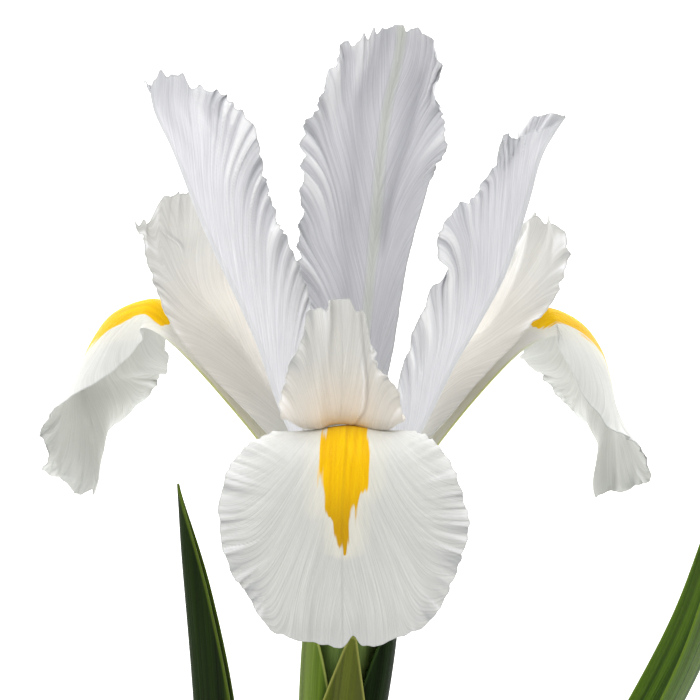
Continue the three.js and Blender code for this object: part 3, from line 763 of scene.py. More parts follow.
def pearly(tree, light, shade, line_share, ridge_highlight_share):
    """White tissue with veins, a green foot, painted shade in the hollows and near the margin, and painted
    highlights on the frills' crests; also the streaks and lines that it is made of.
    """
    vein, along, margin = (fact(tree, key) for key in ("vein", "along", "margin"))
    relief_shading, outer = fact(tree, "relief_shading"), fact(tree, "outer")
    fine = streaks(tree, vein, along, width=0.26, stretch=16, seed=3, detail=2)
    silk = streaks(tree, vein, along, width=0.8, stretch=12, seed=13, detail=2)
    lines = veins(tree, vein, along, spacing=0.75)
    body = mix(tree, sum_of(tree, "MULTIPLY_ADD", silk, 0.5, product(tree, fine, 0.5)), shade, light)
    body = mix(tree, product(tree, lines, line_share), body, VEIN_GREY)
    # painted shade: greyer over the last 6 mm to the margin
    body = mix(tree, fade(tree, margin, 0.5, 6.0, 0.22, 0.0), body, MARGIN_SHADE_GREY)
    # painted shade in the frills' hollows, then a painted highlight on their crests
    body = mix(tree, fade(tree, relief_shading, -0.7, -0.02, 0.5, 0.0), body, PAINTED_HOLLOW_SHADE)
    body = mix(tree, fade(tree, relief_shading, 0.02, 0.5, 0.0, ridge_highlight_share), body, PAINTED_RIDGE_HIGHLIGHT)
    green = product(tree, fade(tree, along, 2, 26, 1.0, 0.0), fade(tree, outer, 0, 1, 0.15, 0.35))
    return mix(tree, green, body, FOOT_GREEN), fine, lines


print("greys of a petal, as linear light:", [round(c[0], 2) for c in (VEIN_GREY, MARGIN_SHADE_GREY, PAINTED_HOLLOW_SHADE)])

# %% [markdown]
# ## Rib, keel shade and painted warmth
# A standard has a pale green rib with a faint line on both sides, and painted shade along the keel behind
# it.
# The distance from the midrib in millimetres paints all three, so they stay narrow to the tip.
# A style arm is painted warm where the light of the yellow signal shines into it.

# %% The standards' rib and keel shade, and the arms' painted warmth
KEEL_SHADE_GREY = colour(150, 153, 156)
RIB_LINE = colour(160, 164, 150)


def with_rib(tree, body, rib):
    """A pale rib on the inner face, painted shade along the keel on the outer one."""
    outer = fact(tree, "outer")
    beside = sum_of(tree, "ABSOLUTE", fact(tree, "across"))
    # painted shade along the keel on the outer face, within about a millimetre of the midrib
    keel = product(tree, outer, fade(tree, beside, 0.1, 1.3, 0.4, 0.0))
    body = mix(tree, keel, body, KEEL_SHADE_GREY)
    inner = fade(tree, outer, 0, 1, 1.0, 0.1)
    body = mix(tree, product(tree, inner, fade(tree, beside, 0.3, 1.1, 0.35, 0.0)), body, rib)
    from_line = sum_of(tree, "ABSOLUTE", sum_of(tree, "SUBTRACT", beside, 0.9))
    return mix(tree, fade(tree, from_line, 0.0, 0.16, 0.2, 0.0), body, RIB_LINE)


def with_warmth(tree, body, fine, warm):
    """A warm colour where the piece's fact says so, a little streaked: on the style arms, painted light
    from the yellow signal.
    """
    warm_share = product(tree, fact(tree, "warm"), fade(tree, fine, 0, 1, 0.75, 1.0))
    return mix(tree, warm_share, body, warm)


print("rib line and keel as linear light:", [round(c[1], 2) for c in (RIB_LINE, KEEL_SHADE_GREY)])

# %% [markdown]
# ## The signal
# A fall has a yellow signal, which leads bees along its haft. The yellow follows the veins, so its
# edge is jagged: streaks move the outline in or out by up to half a millimetre, and a faint glow lies
# round it. The haft's margin is green. A painted image could show all this, but an outline in
# millimetres stays sharp at any size.

# %% The falls' signal
UPPER_BLADE_HIGHLIGHT = colour(240, 240, 236)
UNDER_GREY = colour(172, 175, 163)
HAFT_GREEN = colour(198, 206, 120)
GOLD_DEEP = colour(236, 182, 0)
GOLD_LIGHT = colour(248, 202, 0)
GOLD_TIP = colour(196, 150, 6)
GOLD_GLOW = colour(250, 243, 214)


def with_signal(tree, shader, body):
    """A painted highlight on the haft and upper blade, the haft's green margin, and the yellow signal with
    its glow.
    """
    along, across, margin, outer = (fact(tree, key) for key in ("along", "across", "margin", "outer"))
    # painted highlight: lighter up to 44 mm along the fall, fading out by 62 mm
    body = mix(tree, fade(tree, along, 44, 62, 0.45, 0.0), body, UPPER_BLADE_HIGHLIGHT)
    body = mix(tree, fade(tree, outer, 0, 1, 0.0, 0.22), body, UNDER_GREY)
    haft = product(tree, fade(tree, margin, 0.1, 0.7, 0.8, 0.0), fade(tree, along, 30, 42, 1.0, 0.0))
    body = mix(tree, haft, body, HAFT_GREEN)

    jagged = streaks(tree, across, along, width=0.7, stretch=11, seed=21, detail=1)
    jagged = sum_of(tree, "SUBTRACT", jagged, 0.5)
    inside = sum_of(tree, "MULTIPLY_ADD", jagged, 0.9, fact(tree, "signal"))
    body = mix(tree, fade(tree, inside, -4.0, 0.5, 0.0, 0.3), body, GOLD_GLOW)
    gold_streaks = streaks(tree, across, along, width=0.6, stretch=14, seed=5)
    gold = mix(tree, gold_streaks, GOLD_DEEP, GOLD_LIGHT)
    gold = mix(tree, fade(tree, fact(tree, "tip"), 0.0, 1.0), gold, GOLD_TIP)
    tree.links.new(fade(tree, inside, -0.15, 0.2, 0.5, 0.08), shader.inputs["Specular IOR Level"])
    return mix(tree, fade(tree, inside, -0.15, 0.2), body, gold)


print("gold, as linear light:", [round(v, 2) for v in GOLD_LIGHT[:3]])

# %% [markdown]
# ## The three petal finishes
# Now the parts come together: pearly body, rib and keel shade, margin, painted warmth and signal, then bump
# and gloss.
# Subsurface light gives the glow of thin tissue, and a little sheen the velvet of its cells.

# %% The petals' finishes
MARGIN_GREY = colour(160, 164, 162)


def petal_finish(name, light, shade, rib=None, warm=None, signal=False, line_share=0.13, ridge_highlight_share=0.8):
    """White petal tissue: with a rib on a standard, a blush on a style arm, a signal on a fall."""
    made, tree, shader = finish(name)
    body, fine, lines = pearly(tree, light, shade, line_share, ridge_highlight_share)
    if rib:
        body = with_rib(tree, body, rib)
    body = mix(tree, fade(tree, fact(tree, "margin"), 0.0, 0.35, 0.4, 0.0), body, MARGIN_GREY)
    if warm:
        # painted warmth: on the style arms it stands for the yellow signal's light
        body = with_warmth(tree, body, fine, warm)
    if signal:
        body = with_signal(tree, shader, body)
    tree.links.new(body, shader.inputs["Base Color"])

    vein, along = fact(tree, "vein"), fact(tree, "along")
    broad = streaks(tree, vein, along, width=1.8, stretch=24, seed=8, detail=2)
    ridges = sum_of(tree, "MULTIPLY_ADD", broad, 1.6, sum_of(tree, "MULTIPLY_ADD", lines, -0.5, fine))
    satin(tree, shader, ridges, grain(tree, PETAL_CELLS), rough=(0.32, 0.46), depth=0.00006)
    shader.inputs["Subsurface Weight"].default_value = 0.15
    shader.inputs["Subsurface Radius"].default_value = (1.0, 0.95, 0.85)
    shader.inputs["Subsurface Scale"].default_value = 0.0005
    shader.inputs["Specular IOR Level"].default_value = 0.5
    shader.inputs["Sheen Weight"].default_value = 0.08
    return made


petal_white = petal_finish("petal_white", light=colour(230, 230, 234), shade=colour(199, 199, 205),
                           rib=colour(196, 204, 176))
fall_white = petal_finish("fall_white", light=colour(212, 212, 208), shade=colour(188, 189, 185),
                          signal=True, line_share=0.22, ridge_highlight_share=0.5)
style_cream = petal_finish("style_cream", light=colour(220, 218, 212), shade=colour(198, 197, 191),
                           warm=colour(240, 208, 164))
for material in (petal_white, fall_white, style_cream):
    print(material.name, "has", len(material.node_tree.nodes), "nodes")

# %% [markdown]
# ## The falls' yellow signal
# A fall is an outer petal. A narrow haft climbs outwards, arches over, and hangs as a broad blade
# with a yellow signal where the haft ends. The signal is drawn on the flat blade as an outline:
# how far along the petal, and how far the yellow reaches to the low and to the high side there.
# The piece keeps how deep inside the outline each point lies, and the finish paints from that.
# Beyond both ends the depth drops three times as fast, and the outer face counts as far outside.

# %% The signal's outline
FAR_OUTSIDE = 12


def yellow_patch(outline, tip_from):
    """Facts that say how far inside the signal a point is, in millimetres, and how near its tip."""
    left = profile([(far, low) for far, low, high in outline])
    right = profile([(far, high) for far, low, high in outline])

    def inside(facts):
        far = facts["along"]
        ended = np.maximum(far - outline[-1][0], outline[0][0] - far)
        edge = np.where(facts["across"] < 0, left(far), right(far))
        depth = edge - np.abs(facts["across"]) - 3 * np.maximum(ended, 0)
        return depth - FAR_OUTSIDE * facts["outer"]

    return {"signal": inside, "tip": lambda facts: step(tip_from, outline[-1][0], facts["along"])}


LEFT_SIGNAL = [(41, 2.2, 2.2), (43, 2.7, 2.8), (50, 2.7, 3.1), (58, 2.3, 3.1), (65, 1.5, 2.2),
               (71, 0.3, 0.3)]
RIGHT_SIGNAL = [(41, 2.2, 2.2), (43, 2.8, 2.7), (50, 3.1, 2.7), (58, 3.1, 2.3), (65, 2.2, 1.5),
                (71, 0.3, 0.3)]
FRONT_SIGNAL = [(38, 2.8, 2.4), (41, 3.2, 2.6), (48, 3.4, 2.9), (51, 3.5, 3.1), (54, 3.5, 3.2),
                (56, 3.4, 3.1), (57.2, 3.2, 2.6), (58.3, 3.1, 1.8), (59.3, 3.0, 1.5), (60.3, 2.4, 1.4),
                (61, 1.5, 1.25), (63.2, 0.9, 1.0), (64.4, 0.6, 0.7), (66, 0.05, 0.1)]
print("the front signal is", FRONT_SIGNAL[-1][0] - FRONT_SIGNAL[0][0], "mm long")

# %% [markdown]
# ## The left fall
# The side falls are seen from their edge, so they show the signal only along the arch. The blade
# hangs down and its end turns under. The margin nearer to the camera is the narrower one, and is
# rolled back a little. The other two falls start from this recipe and change what differs.

# %% Recipe of the left fall
FALL = dict(
    spine=[(3.9, 0.7), (9, 8), (15.5, 15.2), (22, 21.8), (28.5, 28.8), (33.4, 33.2), (37.2, 32.8),
           (42.2, 29.7), (45.4, 25.3), (47.2, 21.1), (48, 16.6), (46.6, 11), (45.4, 5.6), (45.6, 1.4),
           (46.6, -1.8)],
    half_width=[(0, 1.7), (0.12, 1.8), (0.3, 2.1), (0.4, 3), (0.46, 3.8), (0.5, 4.9), (0.54, 6.6),
                (0.58, 8.4), (0.61, 9.4), (0.65, 10.7), (0.72, 11.5), (0.8, 10.6), (0.87, 9.6),
                (0.94, 9.4), (1, 8.9)],
    half_width_low=[(0, 1.7), (0.12, 2.8), (0.3, 3.7), (0.44, 4.4), (0.52, 6), (0.56, 8.2), (0.6, 10.2),
                    (0.65, 11.8), (0.72, 13), (0.8, 13.8), (0.87, 11.6), (0.94, 7.6), (1, 4)],
    fold=[(0, 0), (0.08, 4), (0.2, 1), (0.3, -12), (0.4, -22), (0.5, -31), (0.6, -35), (0.7, -19),
          (0.8, 4), (0.9, 40), (1, 66)],
    fold_low=[(0, 0), (0.08, 14), (0.3, 22), (0.46, 12), (0.53, -23), (0.6, -42), (0.7, -41), (0.8, -27),
              (0.87, -2), (0.91, 30), (0.95, 62), (1, 44)],
    lobes=[(0.8, 0), (0.845, -0.6), (0.878, -1.5), (0.905, -1), (0.934, 0)],
    curl=[(0, 0), (0.2, 14), (0.44, 12), (0.53, -42), (0.62, -34), (0.8, -12), (1, 17)],
    ruffle=[(0, 0), (0.5, 0), (0.6, 0.3), (0.8, 0.8), (1, 1.1)],
    frill=[(0, 0), (0.5, 0), (0.58, 0.4), (0.7, 0.6), (1, 0.6)],
    calm_below=(0.78, 0.76), keel=2.2, end_bow=5.8, end_bow_from=0.62, notches=[(0.03, 0.06, 1.6, 0.9)],
    ruffle_top=0.7, waves=16, phase=0.4, focus=0.5, frill_spacing=1.6, frill_radius=16, frill_focus=0.74,
    frill_growth=3.2, end_frill=0.7, end_frill_spacing=2.2, rag=[(0, 0), (0.5, 0), (0.6, 0.2), (1, 0.3)],
    end_rag=0.8, rag_spacing=1.1, vein_sweep=(0.02, 0.4), vein_bend=2.4, seed=11,
    more=yellow_patch(LEFT_SIGNAL, 63))
print("entries in the left fall's recipe:", len(FALL))

# %% [markdown]
# ## The front fall
# It faces the camera and shows its whole blade and signal. Its blade is flat and round, with a soft
# fold along the signal and a small nick at the lower edge.

# %% Recipe of the front fall
FRONT_FALL = dict(
    FALL,
    spine=[(3.9, 0.7), (9, 8), (15.5, 15.2), (22, 21.8), (28.5, 28.8), (33.2, 33.2), (37.4, 34, -0.3),
           (41.1, 31.4, -0.6), (43.8, 25.9, -0.9), (45.2, 20.1, -0.9), (45.5, 14, -0.9), (45.3, 9, -0.9),
           (45.8, 4.7, -0.9)],
    half_width=[(0, 1.7), (0.12, 2.8), (0.3, 3.7), (0.42, 4.5), (0.48, 6), (0.52, 8.2), (0.56, 10.6),
                (0.6, 13.1), (0.66, 16.2), (0.72, 17.8), (0.79, 18), (0.87, 15.9), (0.95, 11.8),
                (1, 8.7)],
    half_width_low=[(0, 1.7), (0.12, 2.8), (0.3, 3.7), (0.42, 4.8), (0.48, 6.6), (0.52, 9.4),
                    (0.56, 12.2), (0.6, 14.2), (0.66, 16.4), (0.72, 17.8), (0.79, 17.8), (0.87, 15.4),
                    (0.95, 11.2), (1, 7.8)],
    fold=[(0, 0), (0.08, 14), (0.3, 22), (0.44, 14), (0.51, 3), (0.62, -3), (0.8, -3), (1, 2)],
    curl=[(0, 0), (0.2, 14), (0.42, 10), (0.52, 0), (0.6, -8), (0.68, -11), (0.8, -5), (1, 11)],
    frill=[(0, 0), (0.5, 0), (0.56, 0.4), (0.7, 0.5), (0.9, 0.5), (1, 0.3)],
    fold_low=None, lobes=LEVEL, calm_below=(-1, -1), end_bow=3.1, seed=31, frill_growth=4,
    frill_spacing=1.5, end_frill=0.2, end_rag=0.3, notches=[(0.12, 0.08, 2.1, 0.9)],
    folds=[([(0, 0)], 0.36, 0.7, 0.48, 0.68)], more=yellow_patch(FRONT_SIGNAL, 50))
widest = [max(width for _, width in FRONT_FALL[half]) for half in ("half_width", "half_width_low")]
print("the front blade is up to", sum(widest), "mm wide")

# %% [markdown]
# ## The right fall
# It mirrors the left one nearly, but no two petals are alike: it is broader at its near margin
# and hangs a little closer to the stem.

# %% Recipe of the right fall
RIGHT_FALL = dict(
    FALL,
    spine=[(3.9, 0.7), (9, 8), (15.5, 15.2), (22, 21.6), (28.5, 27.8), (33.4, 31.6), (36.2, 31.7),
           (40.9, 28.6), (44, 24.5), (45.6, 20.4), (46.5, 15.9), (46.1, 11.1), (44.9, 6.1), (44, 1.6),
           (44.1, -1.2)],
    half_width=[(0, 1.7), (0.12, 2.8), (0.3, 3.7), (0.44, 4.4), (0.52, 5.9), (0.56, 8.3), (0.6, 10.5),
                (0.65, 12.6), (0.72, 13.6), (0.8, 14.1), (0.87, 12.8), (0.94, 9.4), (1, 5.9)],
    half_width_low=[(0, 1.7), (0.12, 1.8), (0.3, 2), (0.4, 2.6), (0.46, 3.3), (0.5, 4.2), (0.54, 6),
                    (0.58, 8.6), (0.61, 11), (0.65, 13.9), (0.72, 16), (0.8, 15.1), (0.87, 11.7),
                    (0.94, 8.7), (1, 6.4)],
    fold=[(0, 0), (0.08, 14), (0.3, 22), (0.46, 12), (0.53, -21), (0.6, -35), (0.7, -27), (0.8, -12),
          (0.87, 8), (0.91, 40), (0.95, 64), (1, 48)],
    lobes_low=[(0.8, 0), (0.845, -0.5), (0.878, -1.3), (0.905, -0.8), (0.934, 0)],
    fold_low=[(0, 0), (0.08, 4), (0.2, 2), (0.32, -6), (0.42, -12), (0.5, -20), (0.6, -28), (0.7, -25),
              (0.8, -20), (0.9, 17), (1, 58)],
    curl=[(0, 0), (0.2, 14), (0.44, 12), (0.53, -44), (0.62, -34), (0.8, -12), (1, 17)],
    lobes=LEVEL, calm_below=(0.76, 0.78), phase=1.7, seed=51, more=yellow_patch(RIGHT_SIGNAL, 63))
print("changed for the right fall:", [key for key in FALL if FALL[key] != RIGHT_FALL[key]])

# %% [markdown]
# ## Making the falls
# Each recipe is turned to its azimuth. The rows start to be fine where the blade starts to widen.

# %% The falls
FALLS = (("front_fall", FRONT_FALL, 0, "fall_front"),
         ("left_fall", FALL, -120, "fall_left"),
         ("right_fall", RIGHT_FALL, 120, "fall_right"))
for name, shape, azimuth, node in FALLS:
    piece = sheet(name, shape, azimuth, fall_white, node, rows=200, columns=105, fine_from=0.46)
    length = midrib(shape["spine"], azimuth)[0]
    print(name, "is", round(length, 1), "mm long,", len(piece.data.polygons), "faces")

# %% [markdown]
# ## The standards
# A standard is an inner petal. It stands up on a narrow foot, widens to a ruffled top and folds a
# little along its midrib. Its frills follow the veins, which leave the midrib slowly and bend out
# to the margin. What all three share comes first.

# %% What the standards share
STANDARD = dict(
    half_width=[(0, 1), (0.1, 2.1), (0.22, 3.6), (0.36, 6.5), (0.5, 9.6), (0.64, 12.2), (0.76, 13.6),
                (0.86, 13.2), (0.94, 11), (1, 8.5)],
    fold=[(0, 0), (0.1, 20), (0.4, 40), (0.8, 38), (1, 30)],
    ruffle=[(0, 0), (0.3, 0), (0.45, 0.6), (0.65, 1.2), (1, 1.5)],
    frill=[(0, 0), (0.3, 0), (0.42, 0.5), (0.6, 0.85), (1, 0.85)],
    rag=[(0, 0), (0.36, 0), (0.5, 0.35), (1, 0.5)],
    curl=[(0, 0), (0.1, 10), (0.5, 16), (1, 10)], keel=1.6, end_bow=9.5, end_bow_from=0.6, ruffle_top=0.8,
    waves=15, phase=1, focus=0.36, frill_spacing=2.5, frill_growth=2.6, end_frill=0.6, end_frill_from=0.7,
    end_frill_spacing=2.6, end_rag=0.6, rag_spacing=0.8, vein_sweep=(0.16, 0.26), seed=71)
print("a standard is up to", 2 * max(width for _, width in STANDARD["half_width"]), "mm wide when flat")

# %% [markdown]
# ## The left standard
# It leans out to the left. Its torn tip is a broad square notch with two small nicks beside it.

# %% Recipe of the left standard
LEFT_STANDARD = dict(
    STANDARD,
    spine=[(3.3, 0.7), (6.5, 12), (12.1, 25.7), (16.3, 37.9), (24, 55.2), (29.4, 68.4), (33.3, 76.4),
           (34.2, 82.3)],
    half_width=[(0, 1), (0.1, 2.1), (0.22, 4.4), (0.36, 7.4), (0.5, 10.3), (0.64, 11.7), (0.76, 12),
                (0.86, 13.1), (0.94, 10.8), (1, 7.6)],
    half_width_low=[(0, 1), (0.1, 2.1), (0.22, 3.8), (0.36, 6.8), (0.5, 9.6), (0.64, 11.4), (0.76, 10.6),
                    (0.86, 8), (0.94, 5.6), (1, 3.6)],
    fold=[(0, 0), (0.1, 20), (0.4, 39), (0.8, 37), (0.9, 44), (1, 58)],
    fold_low=[(0, 0), (0.1, 20), (0.4, 30), (0.8, 46), (0.9, 48), (1, 30)],
    notches=[(-0.4, 0.48, 4.8, 0.88, 8), (0.12, 0.1, 0.5, 0.93), (0.7, 0.06, 0.8, 0.93)],
    end_bow=3.6, end_rag=0.7)
print("notches in the left standard:", len(LEFT_STANDARD["notches"]))

# %% [markdown]
# ## The right standard
# It leans out further and is folded most. A bay and a few lobes shape the margin towards the
# bloom's middle.

# %% Recipe of the right standard
RIGHT_STANDARD = dict(
    STANDARD,
    spine=[(3.3, 0.7), (7, 12), (12.6, 22.5), (17.6, 33.1), (21.8, 40.9), (26.1, 49.6), (29.8, 60.8),
           (32, 68.2), (34.1, 72.3), (36.4, 75.7)],
    half_width=[(0, 1), (0.1, 2.1), (0.22, 3.8), (0.36, 6.6), (0.5, 8.9), (0.64, 10.2), (0.76, 9.2),
                (0.86, 6.8), (0.94, 5.2), (1, 4)],
    half_width_low=[(0, 1), (0.1, 2.6), (0.22, 4.6), (0.36, 7.2), (0.5, 9), (0.6, 10.6), (0.68, 11.2),
                    (0.76, 10), (0.86, 7.2), (0.94, 6), (1, 4.2)],
    lobes_low=[(0.5, 0), (0.57, -0.2), (0.6, -1), (0.64, -2.4), (0.67, -0.9), (0.69, 0), (0.731, 1.3),
               (0.764, -0.1), (0.794, -0.7), (0.84, -0.3), (0.885, -1), (0.905, -0.5), (0.93, 0.8)],
    fold=[(0, 0), (0.1, 20), (0.4, 43), (0.8, 58), (1, 74)],
    fold_low=[(0, 0), (0.1, 20), (0.4, 32), (0.8, 47), (1, 66)],
    end_bow=6, phase=2.2, notches=[(-0.6, 0.4, 3.6, 0.86)], seed=91)
print("lobes of its margin:", len(RIGHT_STANDARD["lobes_low"]), "places")

# %% [markdown]
# ## The back standard
# It stands behind the others and shows its broad inner face. Two long soft folds run up it,
# with painted shade in their valleys, and its frills are the deepest.

# %% Recipe of the back standard
BACK_STANDARD = dict(
    STANDARD,
    spine=[(3.3, 0.7), (5.6, 12), (8, 26, -1.8), (10, 36, -2.8), (13, 47, -3.7), (15.1, 56.8, -4.5),
           (17.2, 65.2, -5.6), (17.4, 72.2, -7.1), (17, 78.2, -7.8)],
    half_width=[(0, 1), (0.1, 1.9), (0.2, 3.2), (0.36, 8.7), (0.48, 13), (0.56, 15.4), (0.62, 14.5),
                (0.68, 13.8), (0.76, 14.5), (0.86, 12.9), (0.94, 10), (1, 7.7)],
    half_width_low=[(0, 1), (0.1, 2), (0.22, 3.4), (0.36, 5.4), (0.5, 6.6), (0.64, 8.4), (0.76, 11.3),
                    (0.86, 10), (0.94, 7.2), (1, 4)],
    lobes_low=[(0.66, 0), (0.7, -0.5), (0.72, -0.7), (0.76, 0.4), (0.8, 0.3), (0.84, -0.4), (0.86, -0.5),
               (0.88, -1.5), (0.91, -1), (0.94, 0.4), (0.97, 0)],
    fold=[(0, 0), (0.1, 20), (0.4, 34), (0.8, 28), (1, 20)],
    folds=[([(0, 0.24)], 0.16, -0.6, 0.3, 1.1),
           ([(0.6, -0.16), (0.7, -0.22), (0.8, -0.29), (0.9, -0.32)], 0.14, -1.1, 0.5, 0.94)],
    frill=[(0, 0), (0.3, 0), (0.4, 0.7), (0.6, 1.15), (1, 1)],
    end_bow=2.6, phase=0.2, seed=111, calm_below=(0.66, -1), fold_shading=0.4, end_rag=1.1,
    frill_spacing=2.9, frill_growth=2.3)
print("folds up the back standard:", len(BACK_STANDARD["folds"]))

# %% [markdown]
# ## Making the standards
# They stand half way between the falls. Their frills start low, so the fine rows start low too.

# %% The standards
STANDARDS = (("left_standard", LEFT_STANDARD, -60, "standard_left"),
             ("right_standard", RIGHT_STANDARD, 60, "standard_right"),
             ("back_standard", BACK_STANDARD, 180, "standard_back"))
for name, shape, azimuth, node in STANDARDS:
    piece = sheet(name, shape, azimuth, petal_white, node, rows=240, columns=97, fine_from=0.3)
    length = midrib(shape["spine"], azimuth)[0]
    print(name, "is", round(length, 1), "mm long,", len(piece.data.polygons), "faces")

# %% [markdown]
# ## The style's arms
# In the middle stands the style: a short column that parts into three arms. Each arm is a keeled
# roof over the haft of a fall, and ends in two upright crests with ragged tips.
# Near the fall the tissue is painted warm, for the light that the yellow signal shines into it.

# %% Where the arms are warm
def arm_signal_glow(facts):
    """Painted warm light from the yellow signal, a little, where the arm lies over the haft."""
    along = facts["along"]
    return 0.12 * step(8, 28, along) * (1 - step(34, 46, along))


def front_signal_glow(facts):
    """Painted warm light from the yellow signal, strongest in the middle of the front arm, just over it."""
    along = facts["along"]
    middle = 1 - 0.6 * step(2, 7, np.abs(facts["across"]))
    return 0.5 * step(30, 44, along) * (1 - step(44, 56, along)) * middle


print("warmth 30 mm up an arm:", arm_signal_glow({"along": 30.0}).round(2))

# %% [markdown]
# ## The left arm
# Its two crests part with one notch and one crease, and its low side is the broader one. Its ruffles
# are weaker than those that the other two arms take from this recipe, so it changes them last.

# %% Recipe of the left arm
LEFT_CREASE = [(0.6, 0.05), (0.8, 0.06), (0.83, 0.12), (0.86, 0.34), (0.9, 0.56), (1, 0.62)]
STYLE_ARM = dict(
    spine=[(1.7, 6.8), (4.9, 12), (10.4, 19), (17, 26.6), (22, 32.2), (26.5, 36), (28.7, 40.2),
           (29.3, 44.6), (29.3, 48.7), (28.8, 52.2), (28.4, 54)],
    half_width=[(0, 1.2), (0.15, 3.8), (0.35, 5.6), (0.5, 6.8), (0.6, 7.4), (0.7, 6.9), (0.8, 6.9),
                (0.9, 7.8), (1, 9.7)],
    half_width_low=[(0, 1.2), (0.15, 3.4), (0.35, 6.4), (0.5, 8.8), (0.6, 10.6), (0.7, 11.2), (0.8, 10.6),
                    (0.9, 8.4), (1, 5.6)],
    fold=[(0, 0), (0.1, -8), (0.3, -12), (0.5, -22), (0.6, -22), (0.7, -20), (0.85, -18), (1, -12)],
    fold_low=[(0, 0), (0.1, -8), (0.3, -6), (0.5, 4), (0.6, 8), (0.7, 8), (0.85, 2), (1, -6)],
    curl=[(0, 0), (0.2, -18), (0.5, -24), (0.6, -12), (0.7, 4), (0.85, 4), (1, -6)],
    notches=[(1.0, 0.37, 3.7, 0.66, 16), (0.45, 0.32, 1.1, 0.8, 6), (-0.2, 0.3, 2.2, 0.7)],
    frill=[(0, 0), (0.5, 0), (0.65, 0.15), (1, 0.35)],
    keel=1, end_bow=1, end_bow_from=0.7, creases=[(LEFT_CREASE, 0.03, -0.3, 0.8)],
    ruffle=[(0, 0), (0.6, 0), (0.72, 0.4), (1, 1)], ruffle_top=0.8, waves=13, phase=0.3, focus=0.55,
    frill_spacing=2.6, frill_growth=4, end_frill=0.5, end_frill_from=0.7, end_frill_spacing=2.3,
    rag=[(0, 0), (0.5, 0), (0.7, 0.2), (1, 0.5)], end_rag=0.9, rag_spacing=1.0, vein_sweep=(0.1, 0.3),
    seed=131, more={"warm": arm_signal_glow})
LEFT_STYLE_ARM = dict(
    STYLE_ARM,
    ruffle=[(0, 0), (0.6, 0), (0.72, 0.2), (1, 0.3)],
    ruffle_top=0.4)
print("entries in the left arm's recipe:", len(LEFT_STYLE_ARM))

# %% [markdown]
# ## The right arm
# Its two crests are nearly alike, with a broad dip in one and a small nick in the other.

# %% Recipe of the right arm
RIGHT_STYLE_ARM = dict(
    STYLE_ARM,
    spine=[(1.7, 6.8), (4.9, 12), (10.4, 19), (17, 26.6), (24, 31), (28, 35.8), (30.2, 40), (31.4, 43.6),
           (31.9, 46.4), (31.7, 48.8)],
    half_width=[(0, 1.2), (0.15, 3.4), (0.35, 5.6), (0.5, 6.2), (0.6, 6.4), (0.68, 7), (0.8, 7.8),
                (0.9, 7.4), (1, 6)],
    half_width_low=[(0, 1.2), (0.15, 3.4), (0.35, 5.6), (0.5, 5.8), (0.6, 5.2), (0.68, 5.8), (0.8, 7.8),
                    (0.9, 8), (1, 6.2)],
    fold=[(0, 0), (0.1, -8), (0.3, -10), (0.5, -12), (0.6, -10), (0.7, -10), (0.85, -22), (1, -36)],
    fold_low=[(0, 0), (0.1, -8), (0.3, -12), (0.5, -18), (0.6, -22), (0.7, -24), (0.85, -18), (1, -4)],
    notches=[(0.6, 0.5, 3.4, 0.65), (-0.32, 0.14, 1.3, 0.85, 3)],
    rag=[(0, 0), (0.5, 0), (0.7, 0.3), (1, 0.9)], creases=(), seed=161)
print("changed for the right arm:", [key for key in STYLE_ARM if STYLE_ARM[key] != RIGHT_STYLE_ARM[key]])

# %% [markdown]
# ## The front arm
# It bends up sharply before the camera. Soft folds lie beside its keel where it turns up,
# and one crest lies over the other.

# %% Recipe of the front arm
FRONT_CREASE = [(0.66, 0.06), (0.69, 0.1), (0.72, 0.2), (0.75, 0.34), (0.8, 0.4), (0.9, 0.44), (1, 0.5)]
FRONT_STYLE_ARM = dict(
    STYLE_ARM,
    spine=[(1.7, 6.8), (4.9, 12), (10.4, 19, -0.2), (17, 25.8, -0.5), (24, 31.1, -0.9),
           (29.6, 34.2, -1.2), (33.6, 35, -1.2), (35.3, 36.6, -1.2), (34.7, 42, -1), (33.2, 48.2, -1),
           (32, 53.2, -1.2)],
    half_width=[(0, 1.2), (0.15, 3.4), (0.35, 5.2), (0.5, 6.4), (0.58, 7.6), (0.64, 8.6), (0.7, 8.9),
                (0.8, 7.8), (0.9, 5.8), (1, 4.2)],
    half_width_low=[(0, 1.2), (0.15, 3.4), (0.35, 5.2), (0.5, 6), (0.58, 6.6), (0.64, 7.4), (0.7, 8.9),
                    (0.8, 8.8), (0.9, 7), (1, 5)],
    fold=[(0, 0), (0.1, -8), (0.3, -12), (0.5, -10), (0.6, 2), (0.7, 2), (0.85, -10), (1, -14)],
    curl=[(0, 0), (0.2, -18), (0.5, -18), (0.6, 2), (0.7, 4), (0.85, -10), (1, -14)],
    notches=[(1.03, 0.44, 5.5, 0.75), (-1, 0.3, 1.4, 0.8)],
    folds=[([(0, -0.5)], 0.34, -1.1, 0.56, 0.76), ([(0, 0.62)], 0.42, -1.6, 0.56, 0.76),
           ([(0.6, -0.2), (1, -0.6)], 0.1, -0.35, 0.64, 1.1),
           ([(0.6, -0.1), (1, -0.3)], 0.13, 0.35, 0.68, 1.1)],
    fold_low=None, end_rag=1.2, creases=[(FRONT_CREASE, 0.03, 0.5, 0.69)], lit_face=-1, seed=151,
    more={"warm": front_signal_glow})
print("folds and creases of the front arm:", len(FRONT_STYLE_ARM["folds"]), len(FRONT_STYLE_ARM["creases"]))

# %% [markdown]
# ## Making the arms
# All three stand for the same node of the solids, because the style is grown as one.

# %% The style's arms
ARMS = (("style_arm_front", FRONT_STYLE_ARM, 0),
        ("style_arm_left", LEFT_STYLE_ARM, -120),
        ("style_arm_right", RIGHT_STYLE_ARM, 120))
for name, shape, azimuth in ARMS:
    sheet(name, shape, azimuth, style_cream, "style", rows=160, columns=85, fine_from=0.5)
    print(name, "is", round(midrib(shape["spine"], azimuth)[0], 1), "mm long")

